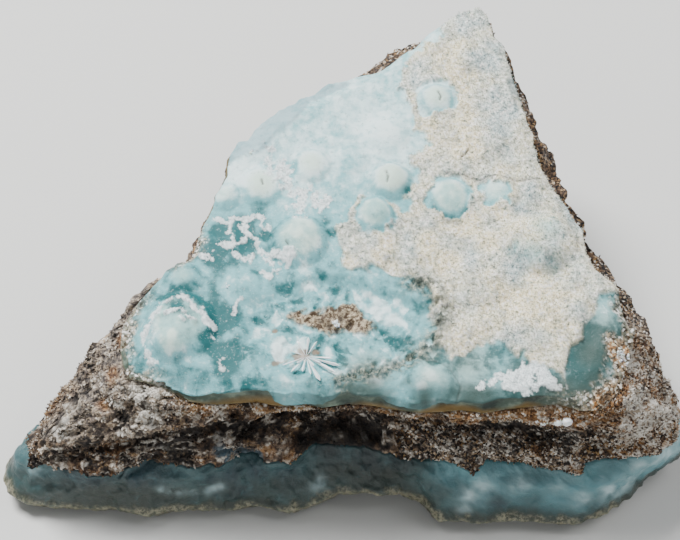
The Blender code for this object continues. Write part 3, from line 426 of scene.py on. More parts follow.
def wall_directions(line, front_step, side_step):
    """Spaces a wall's columns evenly along a line, closer together at the visible front."""
    fine = np.linspace(-math.pi, math.pi, 14401)
    xy = at_reach(fine, reach_of(line, fine)[0])
    length = np.linalg.norm(np.diff(xy, axis=0), axis=1)
    share = smooth(FRONT_LINE - FRONT_BLEND, FRONT_LINE + FRONT_BLEND, xy[1:, 1])
    step = front_step + (side_step - front_step) * share
    count = np.concatenate([[0.0], np.cumsum(length / step)])
    wanted = np.linspace(0.0, count[-1], int(round(count[-1])), endpoint=False)
    return np.interp(wanted, count, fine)


# %% Distances in plan and in space
def distance_to_path(points, path, closed=False):
    """Gives each point's shortest distance to a path of straight stretches."""
    path = np.asarray(path, dtype=float)
    ends = np.roll(path, -1, axis=0) if closed else path[1:]
    starts = path if closed else path[:-1]
    nearest = np.full(len(points), np.inf)
    for start, stop in zip(starts, ends):
        span = stop - start
        along = np.clip(((points - start) @ span) / (span @ span), 0.0, 1.0)
        off = points - start - along[:, None] * span
        nearest = np.minimum(nearest, np.linalg.norm(off, axis=1))
    return nearest


def inside_outline(xy, outline):
    """Tells which plan points an outline surrounds, by counting its crossings beside them."""
    outline = np.asarray(outline, dtype=float)
    crossings = np.zeros(len(xy), dtype=int)
    for start, stop in zip(outline, np.roll(outline, -1, axis=0)):
        spans = (start[1] > xy[:, 1]) != (stop[1] > xy[:, 1])
        rise = stop[1] - start[1] if stop[1] != start[1] else 1.0
        crossing = start[0] + (xy[:, 1] - start[1]) * (stop[0] - start[0]) / rise
        crossings += spans & (crossing > xy[:, 0])
    return crossings % 2 == 1


def depth_inside(xy, outline):
    """Gives the distance to an outline, above zero inside it and below zero outside."""
    gap = distance_to_path(xy, outline, closed=True)
    return np.where(inside_outline(xy, outline), gap, -gap)


def near_spots(points, spots):
    """Gives soft round spots: 1 at each centre, fading as a bell over its radius."""
    share = np.zeros(len(points))
    for *centre, radius in spots:
        square = ((points - np.array(centre)) ** 2).sum(1)
        share = np.maximum(share, np.exp(-square / radius ** 2))
    return share


def near_path(points, path, width):
    """Gives 1 on a path, fading as a bell over its width."""
    return np.exp(-(distance_to_path(points, path) / width) ** 2)


# %% The contacts between the layers, as the solids have them
def face_plane(xy):
    """Gives the height of the tilted plane that the upper crust follows."""
    return FACE_HEIGHT + math.tan(FACE_TILT) * (xy[:, 1] - FACE_FRONT)


def upper_contact(xy):
    """Gives the height of the contact between the upper crust and the matrix."""
    along = np.clip((xy[:, 1] + 30.0) / 45.0, 0.0, 1.0)
    thick = CRUST_THICK_FRONT + (CRUST_THICK_BACK - CRUST_THICK_FRONT) * along
    wave = 0.45 * soft_noise(on_plane(xy), 9.0, 11) + 0.2 * soft_noise(on_plane(xy), 3.5, 12)
    return face_plane(xy) - thick + wave


def lower_contact(xy):
    """Gives the height of the contact between the matrix and the lower crust."""
    wave = 0.6 * soft_noise(on_plane(xy), 10.0, 21) + 0.3 * soft_noise(on_plane(xy), 4.0, 22)
    return LOWER_HEIGHT + math.tan(LOWER_TILT) * (xy[:, 1] + 30.0) + wave


def beside_contact(xy, contact, side):
    """Sets plan points half a gap above a contact, for side 1, or below it, for side -1."""
    return np.column_stack([xy, contact(xy) + side * HALF_GAP])


def cap_height(xy, centre, radius, height):
    """Gives a round cap: full height at its centre, falling off as a parabola to its foot."""
    square = ((xy - np.array(centre)) ** 2).sum(1) / radius ** 2
    return height * np.clip(1.0 - square, 0.0, None)


# %% [markdown]
# ## Closing a layer
#
# Each layer is a closed shell: an upper sheet, a wall of rows round its edge and a lower sheet.
# A sheet is a triangular lattice of plan points with a height worked out for each, so its
# detail is even everywhere. A Delaunay triangulation joins the lattice to the wall's ring.

# %% Lattice and shell
LATTICE_HALF = 60.0
HIDDEN_SPACING = 3.2
HIDDEN_MARGIN = 1.5


def lattice_inside(angles, reach, spacing, margin, seed):
    """Fills a ring with a slightly stirred triangular lattice that stays a margin inside it."""
    rows = np.arange(-LATTICE_HALF, LATTICE_HALF, spacing * math.sqrt(0.75))
    columns = np.arange(-LATTICE_HALF, LATTICE_HALF, spacing)
    grid_y, grid_x = np.meshgrid(rows, columns, indexing="ij")
    grid_x = grid_x + 0.5 * spacing * (np.arange(len(rows)) % 2)[:, None]
    xy = np.column_stack([grid_x.ravel(), grid_y.ravel()])
    limit = np.interp(direction_of(xy), angles, reach, period=WHOLE_TURN)
    xy = xy[distance_out(xy) < limit - margin]
    stir = np.random.default_rng(seed).uniform(-0.3, 0.3, xy.shape)
    return xy + stir * spacing


def hidden_sheet(angles, reach, contact, side, seed):
    """Makes the plain sheet of a layer that its neighbour covers: coarse, beside the contact."""
    xy = lattice_inside(angles, reach, HIDDEN_SPACING, HIDDEN_MARGIN, seed)
    return beside_contact(xy, contact, side)


def filled(ring, angles, inner):
    """Triangulates the points inside a ring seen whole from the heart; the ring comes first."""
    plan = np.vstack([ring, inner])
    outline = [(i, (i + 1) % len(ring)) for i in range(len(ring))]
    result = delaunay_2d_cdt([Vector(p) for p in plan], outline, [], 1, 1e-6, False)
    triangles = np.array([list(face) for face in result[2]])
    middle = plan[triangles].mean(axis=1)
    sector = (np.searchsorted(angles, direction_of(middle)) - 1) % len(ring)
    start = ring[sector]
    span = ring[(sector + 1) % len(ring)] - start
    offset = middle - start
    triangles = triangles[span[:, 0] * offset[:, 1] - span[:, 1] * offset[:, 0] > 0.0]
    corners = plan[triangles]
    first = corners[:, 1] - corners[:, 0]
    second = corners[:, 2] - corners[:, 0]
    turned = first[:, 0] * second[:, 1] - first[:, 1] * second[:, 0] < 0.0
    triangles[turned] = triangles[turned][:, ::-1]
    return triangles


# %% Joining sheets and wall
def closed_layer(angles, top_inner, rows, bottom_inner):
    """Joins a top sheet, rows of wall points and a bottom sheet into one closed shell."""
    count = len(angles)
    points = np.vstack(list(rows) + [top_inner, bottom_inner])
    last = (len(rows) - 1) * count
    top_start = len(rows) * count
    bottom_start = top_start + len(top_inner)
    top = filled(rows[0][:, :2], angles, top_inner[:, :2])
    top = np.where(top < count, top, top - count + top_start)
    bottom = filled(rows[-1][:, :2], angles, bottom_inner[:, :2])
    bottom = np.where(bottom < count, bottom + last, bottom - count + bottom_start)
    here = np.arange(count)[None, :]
    after = (here + 1) % count
    upper = (np.arange(len(rows) - 1) * count)[:, None]
    lower = upper + count
    wall = np.stack([upper + here, lower + here, lower + after,
                     upper + here, lower + after, upper + after], axis=2).reshape(-1, 3)
    return points, np.vstack([top, bottom[:, ::-1], wall])


# %% Relief along the way out
def pushed_out(grid, push):
    """Moves a grid of wall points along its own outward direction by a given length each."""
    down = np.gradient(grid, axis=0)
    around = np.roll(grid, -1, axis=1) - np.roll(grid, 1, axis=1)
    outward = np.cross(down, around)
    outward /= np.maximum(np.linalg.norm(outward, axis=2, keepdims=True), 1e-9)
    return grid + outward * push[:, :, None]


# %% From arrays to a piece
def new_piece(name, points, triangles, marks, material, smooth_faces=True):
    """Makes a mesh object from sketch points, triangles and named values for each point."""
    mesh = bpy.data.meshes.new(name)
    mesh.vertices.add(len(points))
    mesh.vertices.foreach_set("co", in_frame(points).ravel())
    mesh.loops.add(triangles.size)
    mesh.loops.foreach_set("vertex_index", triangles.ravel())
    mesh.polygons.add(len(triangles))
    mesh.polygons.foreach_set("loop_start", np.arange(0, triangles.size, 3))
    mesh.polygons.foreach_set("use_smooth", np.full(len(triangles), smooth_faces))
    mesh.update(calc_edges=True)
    for mark, values in marks.items():
        store = mesh.attributes.new(mark, "FLOAT", "POINT")
        store.data.foreach_set("value", np.asarray(values, dtype=np.float32))
    mesh.materials.append(material)
    piece = bpy.data.objects.new(name, mesh)
    bpy.context.scene.collection.objects.link(piece)
    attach(piece, "root")
    print(name, len(points), "points", len(triangles), "triangles")
    return piece


# %% [markdown]
# ## Building a finish from nodes
#
# A finish here is a stack: a ground colour, then one layer after another, each let through by a
# value stored on the mesh or by a pattern on the object's own coordinates. These helpers keep
# the stacks short to read.

# %% Helpers for finishes
def colour(red, green, blue):
    """Turns a colour as a screen shows it into the linear one that a shader takes."""
    shown = np.array([red, green, blue])
    linear = np.where(shown <= 0.04045, shown / 12.92, ((shown + 0.055) / 1.055) ** 2.4)
    return (*linear.tolist(), 1.0)


def new_finish(name):
    """Makes a material and returns it with its node tree and its shader."""
    material = bpy.data.materials.new(name)
    material.use_nodes = True
    return material, material.node_tree, material.node_tree.nodes["Principled BSDF"]


def feed(tree, socket, value):
    """Links a socket to another node's output, or gives it a plain value."""
    if isinstance(value, bpy.types.NodeSocket):
        tree.links.new(value, socket)
    else:
        socket.default_value = value


def place(tree):
    """Gives the object's own coordinates, from one shared node."""
    node = tree.nodes.get("Place") or tree.nodes.new("ShaderNodeTexCoord")
    node.name = "Place"
    return node.outputs["Object"]


def stored(tree, mark):
    """Reads a value that is stored on the mesh."""
    node = tree.nodes.new("ShaderNodeAttribute")
    node.attribute_name = mark
    return node.outputs["Fac"]


def grain(tree, size, detail=4.0, roughness=0.55, stretch=0.0):
    """Gives a cloudy pattern from 0 to 1 whose lumps are about a size in millimetres."""
    node = tree.nodes.new("ShaderNodeTexNoise")
    feed(tree, node.inputs["Vector"], place(tree))
    node.inputs["Scale"].default_value = 1.0 / (size * METRES)
    node.inputs["Detail"].default_value = detail
    node.inputs["Roughness"].default_value = roughness
    node.inputs["Distortion"].default_value = stretch
    return node.outputs["Fac"]


# %% Sums on values
def sums(tree, operation, first, second=0.0, third=0.0):
    """Does one sum on values."""
    node = tree.nodes.new("ShaderNodeMath")
    node.operation = operation
    for socket, value in zip(node.inputs, (first, second, third)):
        feed(tree, socket, value)
    return node.outputs["Value"]


def rising(tree, value, low, high):
    """Gives 0 at low and 1 at high with eased ends."""
    node = tree.nodes.new("ShaderNodeMapRange")
    node.interpolation_type = "SMOOTHSTEP"
    feed(tree, node.inputs["Value"], value)
    node.inputs["From Min"].default_value = low
    node.inputs["From Max"].default_value = high
    return node.outputs["Result"]


# %% One colour over another
def layer(tree, share, under, over):
    """Covers one colour with another by a share."""
    node = tree.nodes.new("ShaderNodeMix")
    node.data_type = "RGBA"
    feed(tree, node.inputs[0], share)
    feed(tree, node.inputs[6], under)
    feed(tree, node.inputs[7], over)
    return node.outputs[2]


def covered(tree, ground, mark, strength, over):
    """Covers a ground with a colour by a stored value times a strength."""
    share = sums(tree, "MULTIPLY", stored(tree, mark), strength)
    return layer(tree, share, ground, over)


def mixed(tree, share, first, second):
    """Goes from one value to another by a share."""
    node = tree.nodes.new("ShaderNodeMix")
    node.data_type = "FLOAT"
    feed(tree, node.inputs[0], share)
    feed(tree, node.inputs[2], first)
    feed(tree, node.inputs[3], second)
    return node.outputs[0]


# %% Ranges, grains and bumps
def ramp(tree, value, stops):
    """Picks a colour by a value, from a list of places and colours with eased steps between."""
    node = tree.nodes.new("ShaderNodeValToRGB")
    node.color_ramp.interpolation = "EASE"
    while len(node.color_ramp.elements) < len(stops):
        node.color_ramp.elements.new(0.5)
    for element, (spot, tint) in zip(node.color_ramp.elements, stops):
        element.position = spot
        element.color = tint
    feed(tree, node.inputs["Fac"], value)
    return node.outputs["Color"]


def grain_pick(tree, size, cloud_size):
    """Gives every grain in space its own value, near 0 to 1, leaning with a cloudy pattern."""
    cells = tree.nodes.new("ShaderNodeTexVoronoi")
    feed(tree, cells.inputs["Vector"], place(tree))
    cells.inputs["Scale"].default_value = 1.0 / (size * METRES)
    split = tree.nodes.new("ShaderNodeSeparateColor")
    feed(tree, split.inputs["Color"], cells.outputs["Color"])
    cloudy = sums(tree, "SUBTRACT", grain(tree, cloud_size, 5.0, 0.65), 0.5)
    return sums(tree, "MULTIPLY_ADD", cloudy, 0.9, split.outputs["Red"])


def bumped(tree, shader, height, depth):
    """Raises the shading by a height from 0 to 1 times a depth in millimetres."""
    node = tree.nodes.new("ShaderNodeBump")
    node.inputs["Distance"].default_value = depth * METRES
    feed(tree, node.inputs["Height"], height)
    tree.links.new(node.outputs["Normal"], shader.inputs["Normal"])


def set_glow(shader, weight, radius, depth):
    """Lets light pass under the surface: a weight, how far red, green and blue go, and a depth."""
    shader.inputs["Subsurface Weight"].default_value = weight
    shader.inputs["Subsurface Radius"].default_value = radius
    shader.inputs["Subsurface Scale"].default_value = depth * METRES


# %% [markdown]
# ## The upper crust
#
# This is a skin of radiating needles grown so tightly that it looks like wax. It swells into low
# domes, and on the right it carries a felt of cream crystals. A painted flat sheet would miss
# the soft shading of the domes, so the sheet is nearly the solids' face with finer relief added,
# and the places of the finishes are worked out with it and stored on the mesh.

# %% The face before its fine relief
def pocket_share(xy):
    """Gives 1 inside the broken pocket and 0 outside it, over a short ragged rim."""
    offset = xy - np.array(POCKET_CENTRE)
    cosine, sine = math.cos(POCKET_TURN), math.sin(POCKET_TURN)
    along = (offset[:, 0] * cosine + offset[:, 1] * sine) / POCKET_HALF[0]
    across = (offset[:, 1] * cosine - offset[:, 0] * sine) / POCKET_HALF[1]
    radius = np.hypot(along, across) + 0.12 * soft_noise(on_plane(xy), 4.0, 31)
    return smooth(1.08, 0.80, radius)


def solid_face(xy):
    """Gives the crust's height: plane, broad swells, domes, pocket and chamfer."""
    swell = 0.7 * soft_noise(on_plane(xy), 17.0, 41) + 0.3 * soft_noise(on_plane(xy), 6.0, 42)
    caps = np.zeros(len(xy))
    for x, y, radius, height in DOMES:
        caps += cap_height(xy, (x, y), radius, height) ** 4
    edge = distance_to_path(xy, CRUST_EDGE, closed=True)
    x, y, half, width, drop = WIDE_CHAMFER
    wide = np.clip(1.6 - np.hypot(xy[:, 0] - x - 5.0, xy[:, 1] - y - 4.0) / half, 0.0, 1.0)
    reach = PLAIN_CHAMFER[0] + (width - PLAIN_CHAMFER[0]) * wide
    depth = PLAIN_CHAMFER[1] + (drop - PLAIN_CHAMFER[1]) * wide
    chamfer = depth * np.clip(1.0 - edge / reach, 0.0, 1.0)
    face = face_plane(xy) + swell + caps ** 0.25 - POCKET_DEPTH * pocket_share(xy) - chamfer
    face = np.maximum(face, upper_contact(xy) + HALF_GAP + CRUST_THICK_LEAST)
    thin = near_spots(xy, WORN_CORNERS) * smooth(4.2, 0.0, edge) * 0.9
    return face + (upper_contact(xy) + HALF_GAP + 0.25 - face) * np.minimum(thin, 1.0)


# %% [markdown]
# ## Felt, strands and stains
#
# The cream felt ends in a ragged line, white crumbs follow the valleys, and stains lie where iron
# seeped in. Each is an outline, a path or a spot in plan, in millimetres, and noise breaks up its
# rim so that no line looks drawn. Painting them by hand would be quicker, but the crystals that
# grow later need to know the places too, so they are worked out as values for each point.

# %% Where the cream felt of crystals grows
DRUSE_EDGE = [
    (15.6, 31.6), (13.0, 27.8), (9.2, 23.3), (8.1, 19.8), (9.5, 16.3), (10.0, 13.2),
    (12.9, 10.3), (10.2, 7.7), (9.9, 4.7), (10.1, 1.9), (8.4, -0.1), (5.0, 1.2), (1.7, 1.7),
    (0.1, -1.4), (-1.0, -6.3), (0.5, -9.9), (5.8, -10.9), (10.0, -12.2), (12.0, -14.0),
    (12.7, -17.3), (11.7, -20.5), (11.9, -21.9), (15.1, -23.5), (16.7, -24.3), (17.4, -22.6),
    (19.7, -22.0), (22.4, -23.1), (26.9, -24.3), (29.6, -26.1), (30.8, -28.2), (30.5, -26.8),
    (30.6, -25.2), (31.3, -22.5), (33.2, -21.4), (33.6, -19.7), (35.3, -17.6), (36.1, -14.8),
    (38.4, -14.3), (46.0, -13.0), (44.0, 8.0), (32.0, 40.0), (14.0, 40.0),
]
BROKEN_DRUSE_EDGE = DRUSE_EDGE[29:38]
BARE_TOPS = [(13.7, 17.7, 2.9), (4.4, -1.6, 2.9), (15.3, 1.2, 3.3), (22.0, 2.2, 2.0),
             (6.8, 3.9, 3.0)]
WHITE_PATCH = [(18.6, -27.9), (20.8, -26.0), (23.6, -24.8), (27.1, -24.5), (28.6, -26.0),
               (29.6, -27.9), (24.0, -28.6)]
CREAM_STRIP = [(-11.2, 8.4), (-9.7, 6.2), (-8.9, 4.4), (-7.6, 1.9), (-5.7, 1.0), (-3.2, 0.6)]
THIN_FELT = [(26.6, -8.8, 1.8), (24.2, -7.4, 1.0), (29.6, -9.8, 1.6), (28.8, -4.6, 2.2)]
DRUSE_CRACK = [(14.9, 5.2), (17.0, 5.0), (19.5, 4.0), (22.1, 4.9), (25.7, 4.1), (28.5, 4.6)]
print("felt:", len(DRUSE_EDGE), "points on its edge,", len(BARE_TOPS), "bare tops")


def druse_share(xy):
    """Gives the felt's cover: the depth inside its outline, broken up by noise near the edge."""
    flat = on_plane(xy)
    depth = depth_inside(xy, DRUSE_EDGE)
    broken = near_path(xy, BROKEN_DRUSE_EDGE, 2.5)
    ragged = 1.1 * (1.0 - 0.8 * broken)
    cover = np.clip(depth, -4.0, 2.2) + ragged * rough_noise(flat, 2.4, 111)
    for x, y, radius in BARE_TOPS:
        gap = np.hypot(xy[:, 0] - x, xy[:, 1] - y) - radius
        cover = np.minimum(cover, 1.3 * gap + 0.8 * rough_noise(flat, 1.5, 115))
    return smooth(-0.1, 0.5, cover) * (1.0 - 0.6 * near_spots(xy, THIN_FELT))


def crumb_share(xy):
    """Gives the white crumbs: along the strands, in the front patch and in the cream strip."""
    flat = on_plane(xy)
    wander = 0.5 * np.column_stack([rough_noise(flat, 1.3, 121), rough_noise(flat, 1.3, 122)])
    cover = np.zeros(len(xy))
    for width, path in WHITE_STRANDS:
        gap = distance_to_path(xy + wander, path)
        cover = np.maximum(cover, 1.0 - gap / (1.35 * width))
    strip = 1.0 - distance_to_path(xy + 2.0 * wander, CREAM_STRIP) / 2.2
    patch = np.clip(0.5 + 0.5 * depth_inside(xy, WHITE_PATCH), 0.0, 1.0)
    cover = np.maximum(cover, np.maximum(strip, patch) * 0.9)
    crumbly = cover + 0.50 * rough_noise(flat, 0.85, 124, 3)
    return smooth(0.46, 0.60, crumbly) * smooth(0.0, 0.2, cover)


# %% The lacy white strands: width and path
WHITE_STRANDS = [
    (0.55, [(-18.9, -0.9), (-17.9, -1.7), (-16.6, -2.4), (-15.6, -1.4), (-12.7, -1.1),
            (-11.7, -1.7), (-11.2, -3.5)]),
    (0.6, [(-16.9, -2.4), (-16.5, -4.0), (-15.8, -5.3), (-14.5, -5.3), (-14.5, -3.9)]),
    (0.8, [(-14.5, -3.2), (-13.2, -4.3), (-12.5, -5.5), (-11.6, -6.6), (-10.6, -7.9),
           (-10.0, -9.5), (-10.8, -10.9)]),
    (0.6, [(-15.7, -6.9), (-14.1, -8.4), (-13.1, -7.6)]),
    (0.45, [(-18.3, -5.8), (-17.2, -6.4), (-16.2, -5.8)]),
    (0.9, [(-10.6, -7.9), (-9.0, -8.0), (-7.3, -8.4), (-8.3, -9.2)]),
    (0.45, [(-20.1, -7.7), (-19.8, -8.3), (-19.1, -8.1), (-19.1, -7.4), (-19.7, -7.2)]),
    (0.5, [(-27.6, -19.3), (-26.5, -17.8), (-24.8, -14.9), (-22.6, -14.8)]),
    (0.65, [(-22.6, -14.8), (-20.4, -16.5), (-19.2, -18.0), (-18.6, -19.6)]),
    (0.4, [(-27.9, -19.7), (-27.6, -20.9), (-27.9, -21.6), (-27.4, -22.4), (-27.1, -23.6),
           (-26.2, -24.5)]),
    (0.4, [(-25.9, -18.0), (-24.6, -17.5), (-23.3, -17.0), (-22.6, -17.6)]),
    (0.4, [(-22.7, -18.8), (-21.6, -18.4), (-20.9, -18.9)]),
    (0.35, [(-17.2, -23.6), (-16.7, -24.6), (-16.3, -25.3)]),
    (0.5, [(-15.8, -16.9), (-15.4, -15.6), (-15.0, -14.5)]),
    (0.35, [(-7.8, -2.4), (-6.4, -2.2), (-5.1, -2.5)]),
]
STRAND_CRESTS = WHITE_STRANDS[7:12]
print(len(WHITE_STRANDS), "white strands,", len(STRAND_CRESTS), "of them raised")

# %% Deep teal, milky clouds and stains on the bare crust: x, y, radius
TEAL_SPOTS = [
    (-7.5, 6.2, 1.1), (-12.2, 0.4, 1.6), (-18.3, -3.5, 1.8), (-14.3, -2.2, 1.2),
    (-13.9, -5.8, 1.2), (-11.2, -4.3, 0.9), (-18.4, -20.4, 2.2), (-17.9, -22.6, 2.0),
    (-16.9, -25.1, 1.8), (0.1, -20.8, 2.2), (-7.3, -19.7, 1.2), (33.3, -24.2, 2.4),
    (34.2, -21.1, 1.8), (-8.5, -12.8, 1.6), (-23.8, -16.2, 1.2), (-2.5, -2.5, 1.0),
    (-1.6, -4.3, 0.9), (13.1, -0.9, 0.9), (18.8, -1.4, 1.2), (-12.0, -17.4, 1.0),
    (29.8, -9.4, 1.5), (23.3, -6.5, 0.8), (9.2, 2.4, 0.9), (-6.8, -25.9, 1.2),
    (4.6, -20.6, 2.2), (7.6, -21.6, 2.0), (3.6, -23.4, 1.8), (-0.6, -23.2, 1.4),
    (12.5, -24.6, 1.3),
]
TEAL_VALLEYS = [(-18.0, -17.0, 3.4), (-16.5, -24.0, 2.8), (-18.5, -8.0, 2.2),
                (-14.5, -4.0, 2.6), (34.0, -22.5, 2.6)]
CLOUD_SPOTS = [
    (-4.6, -24.0, 2.2), (-2.8, -25.6, 1.6), (5.0, -12.6, 2.2), (9.6, -13.6, 1.9), (-20.4, -27.0, 2.0),
    (7.7, -17.5, 2.2), (-8.9, -21.9, 1.8), (-4.3, -7.6, 2.4), (-20.6, -10.9, 2.0),
    (-12.6, -8.0, 2.2), (-13.2, -20.6, 2.0), (-12.8, -24.4, 2.2), (-21.9, -23.4, 1.8),
    (13.6, -28.3, 2.0), (10.6, -28.2, 1.6), (17.0, -26.4, 2.0), (20.6, -27.6, 2.0), (35.6, -16.8, 2.0),
    (4.9, 12.6, 3.4), (-14.5, 5.5, 2.8), (-12.1, 3.7, 2.4), (-6.5, -5.8, 2.2), (6.8, 3.9, 2.0),
    (-23.8, -21.6, 2.4), (-15.1, -19.8, 1.4), (-12.4, -25.0, 2.2), (1.5, -23.6, 2.2),
    (-4.8, 6.9, 2.0), (-13.6, -11.4, 1.4), (-19.7, -13.4, 1.6), (-23.2, -11.4, 1.8),
    (12.0, -27.2, 1.8), (4.2, -27.2, 2.0), (-16.3, -14.8, 1.4), (-1.2, -25.2, 1.8),
    (-7.4, -27.9, 2.2), (-19.6, -18.6, 1.8), (-17.2, -11.9, 1.8), (-16.6, -20.4, 1.6),
    (-19.2, -24.4, 1.6),
    (-10.8, -14.2, 1.2), (1.4, -13.6, 1.6), (10.5, -20.5, 1.6), (-5.0, -20.6, 1.4),
]
NUCLEUS = [(-8.0, -17.0), (-7.0, -16.2), (-4.8, -15.9), (-3.0, -15.9), (-1.0, -14.9),
           (1.4, -15.2), (2.6, -16.6), (4.8, -17.6), (3.0, -19.3), (0.0, -19.1), (-2.0, -19.5),
           (-4.8, -18.4)]
RUST_SPOTS = [(-9.8, -19.1, 0.45), (-10.0, -24.8, 0.35), (-9.7, -24.4, 0.3), (37.2, -21.9, 0.8),
              (39.8, -21.1, 0.7), (-21.7, -6.6, 0.6), (-5.4, -22.5, 1.2), (-6.8, -23.0, 0.8),
              (-4.2, -22.2, 0.7), (38.0, -23.8, 0.6)]
DARK_HOLES = [(-5.0, -22.2, 0.35), (-0.4, -17.2, 0.5), (-2.1, -18.0, 0.6), (-1.0, -18.9, 0.5),
              (0.6, -18.2, 0.5), (-3.4, -17.4, 0.4)]
RUST_STREAK = [(-9.7, -24.6), (-8.0, -23.6), (-5.3, -22.9), (-3.8, -22.9)]
SCARP = [(9.3, -12.1), (12.1, -12.8), (13.6, -14.5), (13.8, -17.1), (12.2, -21.0),
         (9.8, -22.9), (7.6, -24.5), (4.2, -25.4), (1.3, -25.8), (-0.6, -27.1)]
LOBE_OUTLINE = [(9.8, -23.1), (12.2, -23.7), (14.6, -25.5), (16.1, -27.7), (15.4, -29.7)]
CHAMFER_FACET = [(-16.7, 8.0), (-13.5, 9.1), (-11.5, 8.4), (-10.0, 9.7), (-8.1, 13.2),
                 (-6.7, 15.4), (-4.8, 18.4), (-0.6, 20.8), (1.2, 21.9), (-4.0, 23.0),
                 (-12.0, 17.0), (-19.0, 11.0)]
CREAM_TINTS = [(15.9, 23.3, 3.0), (18.5, 9.4, 3.4), (14.2, 12.8, 2.6), (22.5, -0.6, 3.0),
               (10.7, -13.4, 3.2), (19.0, -18.1, 3.6), (24.7, -15.0, 3.4), (18.1, -3.9, 3.4),
               (27.5, -18.0, 3.0), (26.0, -5.0, 2.6), (13.0, -8.0, 2.6)]
BLUE_TINTS = [(20.5, 2.7, 1.8), (23.0, 12.8, 2.4), (25.3, -1.4, 1.6), (20.5, 25.1, 2.4),
              (31.5, 6.0, 2.6), (24.0, 18.0, 3.0), (22.4, 28.0, 2.6), (33.5, -2.5, 2.4),
              (24.0, -9.6, 1.8), (29.2, -9.2, 1.6), (19.0, -24.6, 1.8), (19.5, 31.0, 2.6)]
EARTHY_EDGES = [(-31.0, -17.0, 5.0), (-29.6, -25.0, 3.6), (-22.0, -7.0, 4.0), (38.5, -18.0, 4.0),
                (36.0, -29.0, 5.0)]
ORANGE_GROWTH = [(31.6, -31.0), (33.6, -29.2), (35.6, -27.2), (36.9, -25.2), (36.2, -22.6),
                 (36.6, -20.6), (38.6, -19.4), (39.4, -17.0), (43.0, -15.0), (43.0, -24.0),
                 (39.0, -31.0)]
ORANGE_SPOTS = [(36.2, -28.6, 2.4), (34.4, -30.0, 1.6)]
GROWTH_CRYSTAL = (38.7, -22.6)
PALE_SCALLOPS = [(-7.0, -28.5, 3.2), (-3.0, -27.5, 2.0), (11.8, -26.4, 3.2), (8.0, -29.0, 1.6),
                 (6.5, -27.0, 1.6), (24.0, -27.2, 3.0)]
GREY_PLACES = [(3.5, -27.8, 3.0), (34.2, -23.4, 2.8), (34.6, -27.0, 2.4), (19.0, -29.2, 1.6),
               (11.0, -29.6, 2.0)]
CROWN_CRACKS = [[(6.1, 4.6), (6.4, 3.6), (6.2, 2.9)], [(14.0, 18.2), (14.4, 17.4), (14.2, 16.9)],
                [(-12.0, 4.2), (-11.8, 3.4)], [(-8.3, -6.4), (-8.0, -7.0)],
                [(18.2, 9.0), (17.6, 8.2), (17.1, 7.7)]]
MUTED_PLACES = [(17.0, -24.6, 5.0), (25.0, -26.6, 4.0), (11.8, -23.0, 2.6), (36.5, -20.0, 5.0),
                (30.0, -27.6, 3.0), (3.0, -24.6, 2.6)]
print(len(TEAL_SPOTS), "teal spots,", len(CLOUD_SPOTS), "clouds,", len(RUST_SPOTS), "rust spots")

# %% Working out the finishes of the face
STREAK_HUB = (-3.5, -19.5)
CLEAVAGE = np.array([[0.8, 0.5], [-0.25, 1.0]])
FULL_DOME = 1.3


def dome_rise(xy):
    """Gives 1 on the tops of the domes and 0 at their feet, and less on the lowest domes."""
    rise = np.zeros(len(xy))
    for x, y, radius, height in DOMES:
        cap = cap_height(xy, (x, y), radius, min(1.0, height / FULL_DOME))
        rise = np.maximum(rise, cap)
    return rise


# %% Milk on the bare crust
def milk_share(xy, rise, inner):
    """Gives how milky the bare crust is, from the rise of the domes and the pocket's share.

    It grows up the face and on the domes, and falls in the teal spots and valleys. Clouds, rings
    round each dome, streaks that fan out from the hub, cleaved plates and the pale veins between
    them are added one after another, fainter up the face.
    """
    flat = on_plane(xy)
    up = smooth(-12.0, 9.0, xy[:, 1])
    down = 1.0 - 0.6 * up
    far_down = 1.0 - 0.7 * up
    warp = 1.4 * np.column_stack([soft_noise(flat, 2.6, 133), soft_noise(flat, 2.6, 134)])
    bent = on_plane(xy + 0.45 * warp)
    milky = 0.30 + 0.41 * up + 0.17 * rise * (1.0 - 0.2 * up)
    milky += down * (0.16 * soft_noise(flat, 6.5, 131) + 0.15 * rough_noise(bent, 1.5, 132, 5))
    milky += 0.28 * near_spots(xy, CLOUD_SPOTS) - 0.42 * near_spots(xy, TEAL_SPOTS)
    milky -= 0.40 * near_spots(xy, TEAL_VALLEYS)
    milky += 0.10 * rough_noise(on_plane(xy + warp), 3.0, 144, 5) * far_down
    depth = np.sqrt(np.clip(1.0 - rise, 0.0, 1.0))
    rings = np.cos(11.0 * depth + 1.2 * soft_noise(flat, 2.0, 130))
    milky += 0.11 * rings * smooth(0.0, 0.25, rise)
    out = bent[:, :2] - np.array(STREAK_HUB)
    turn = np.arctan2(out[:, 1], out[:, 0])
    fan = np.column_stack([0.22 * np.hypot(*out.T), 2.6 * turn, 0.3 * xy[:, 0]])
    milky += (0.10 + 0.16 * inner) * rough_noise(fan, 1.0, 137, 4) * down
    milky += inner * (0.12 + 0.22 * rough_noise(bent, 1.2, 136, 4))
    gap, second, value = cell_noise(on_plane(bent[:, :2] @ CLEAVAGE), 1.6, 139)
    milky += 0.13 * value * (0.4 + inner) * far_down
    veins = smooth(0.07, 0.0, second - gap) * smooth(-0.2, 0.5, soft_noise(flat, 4.0, 140))
    milky += 0.20 * veins * (1.0 - up)
    return np.clip(milky, 0.0, 1.0)


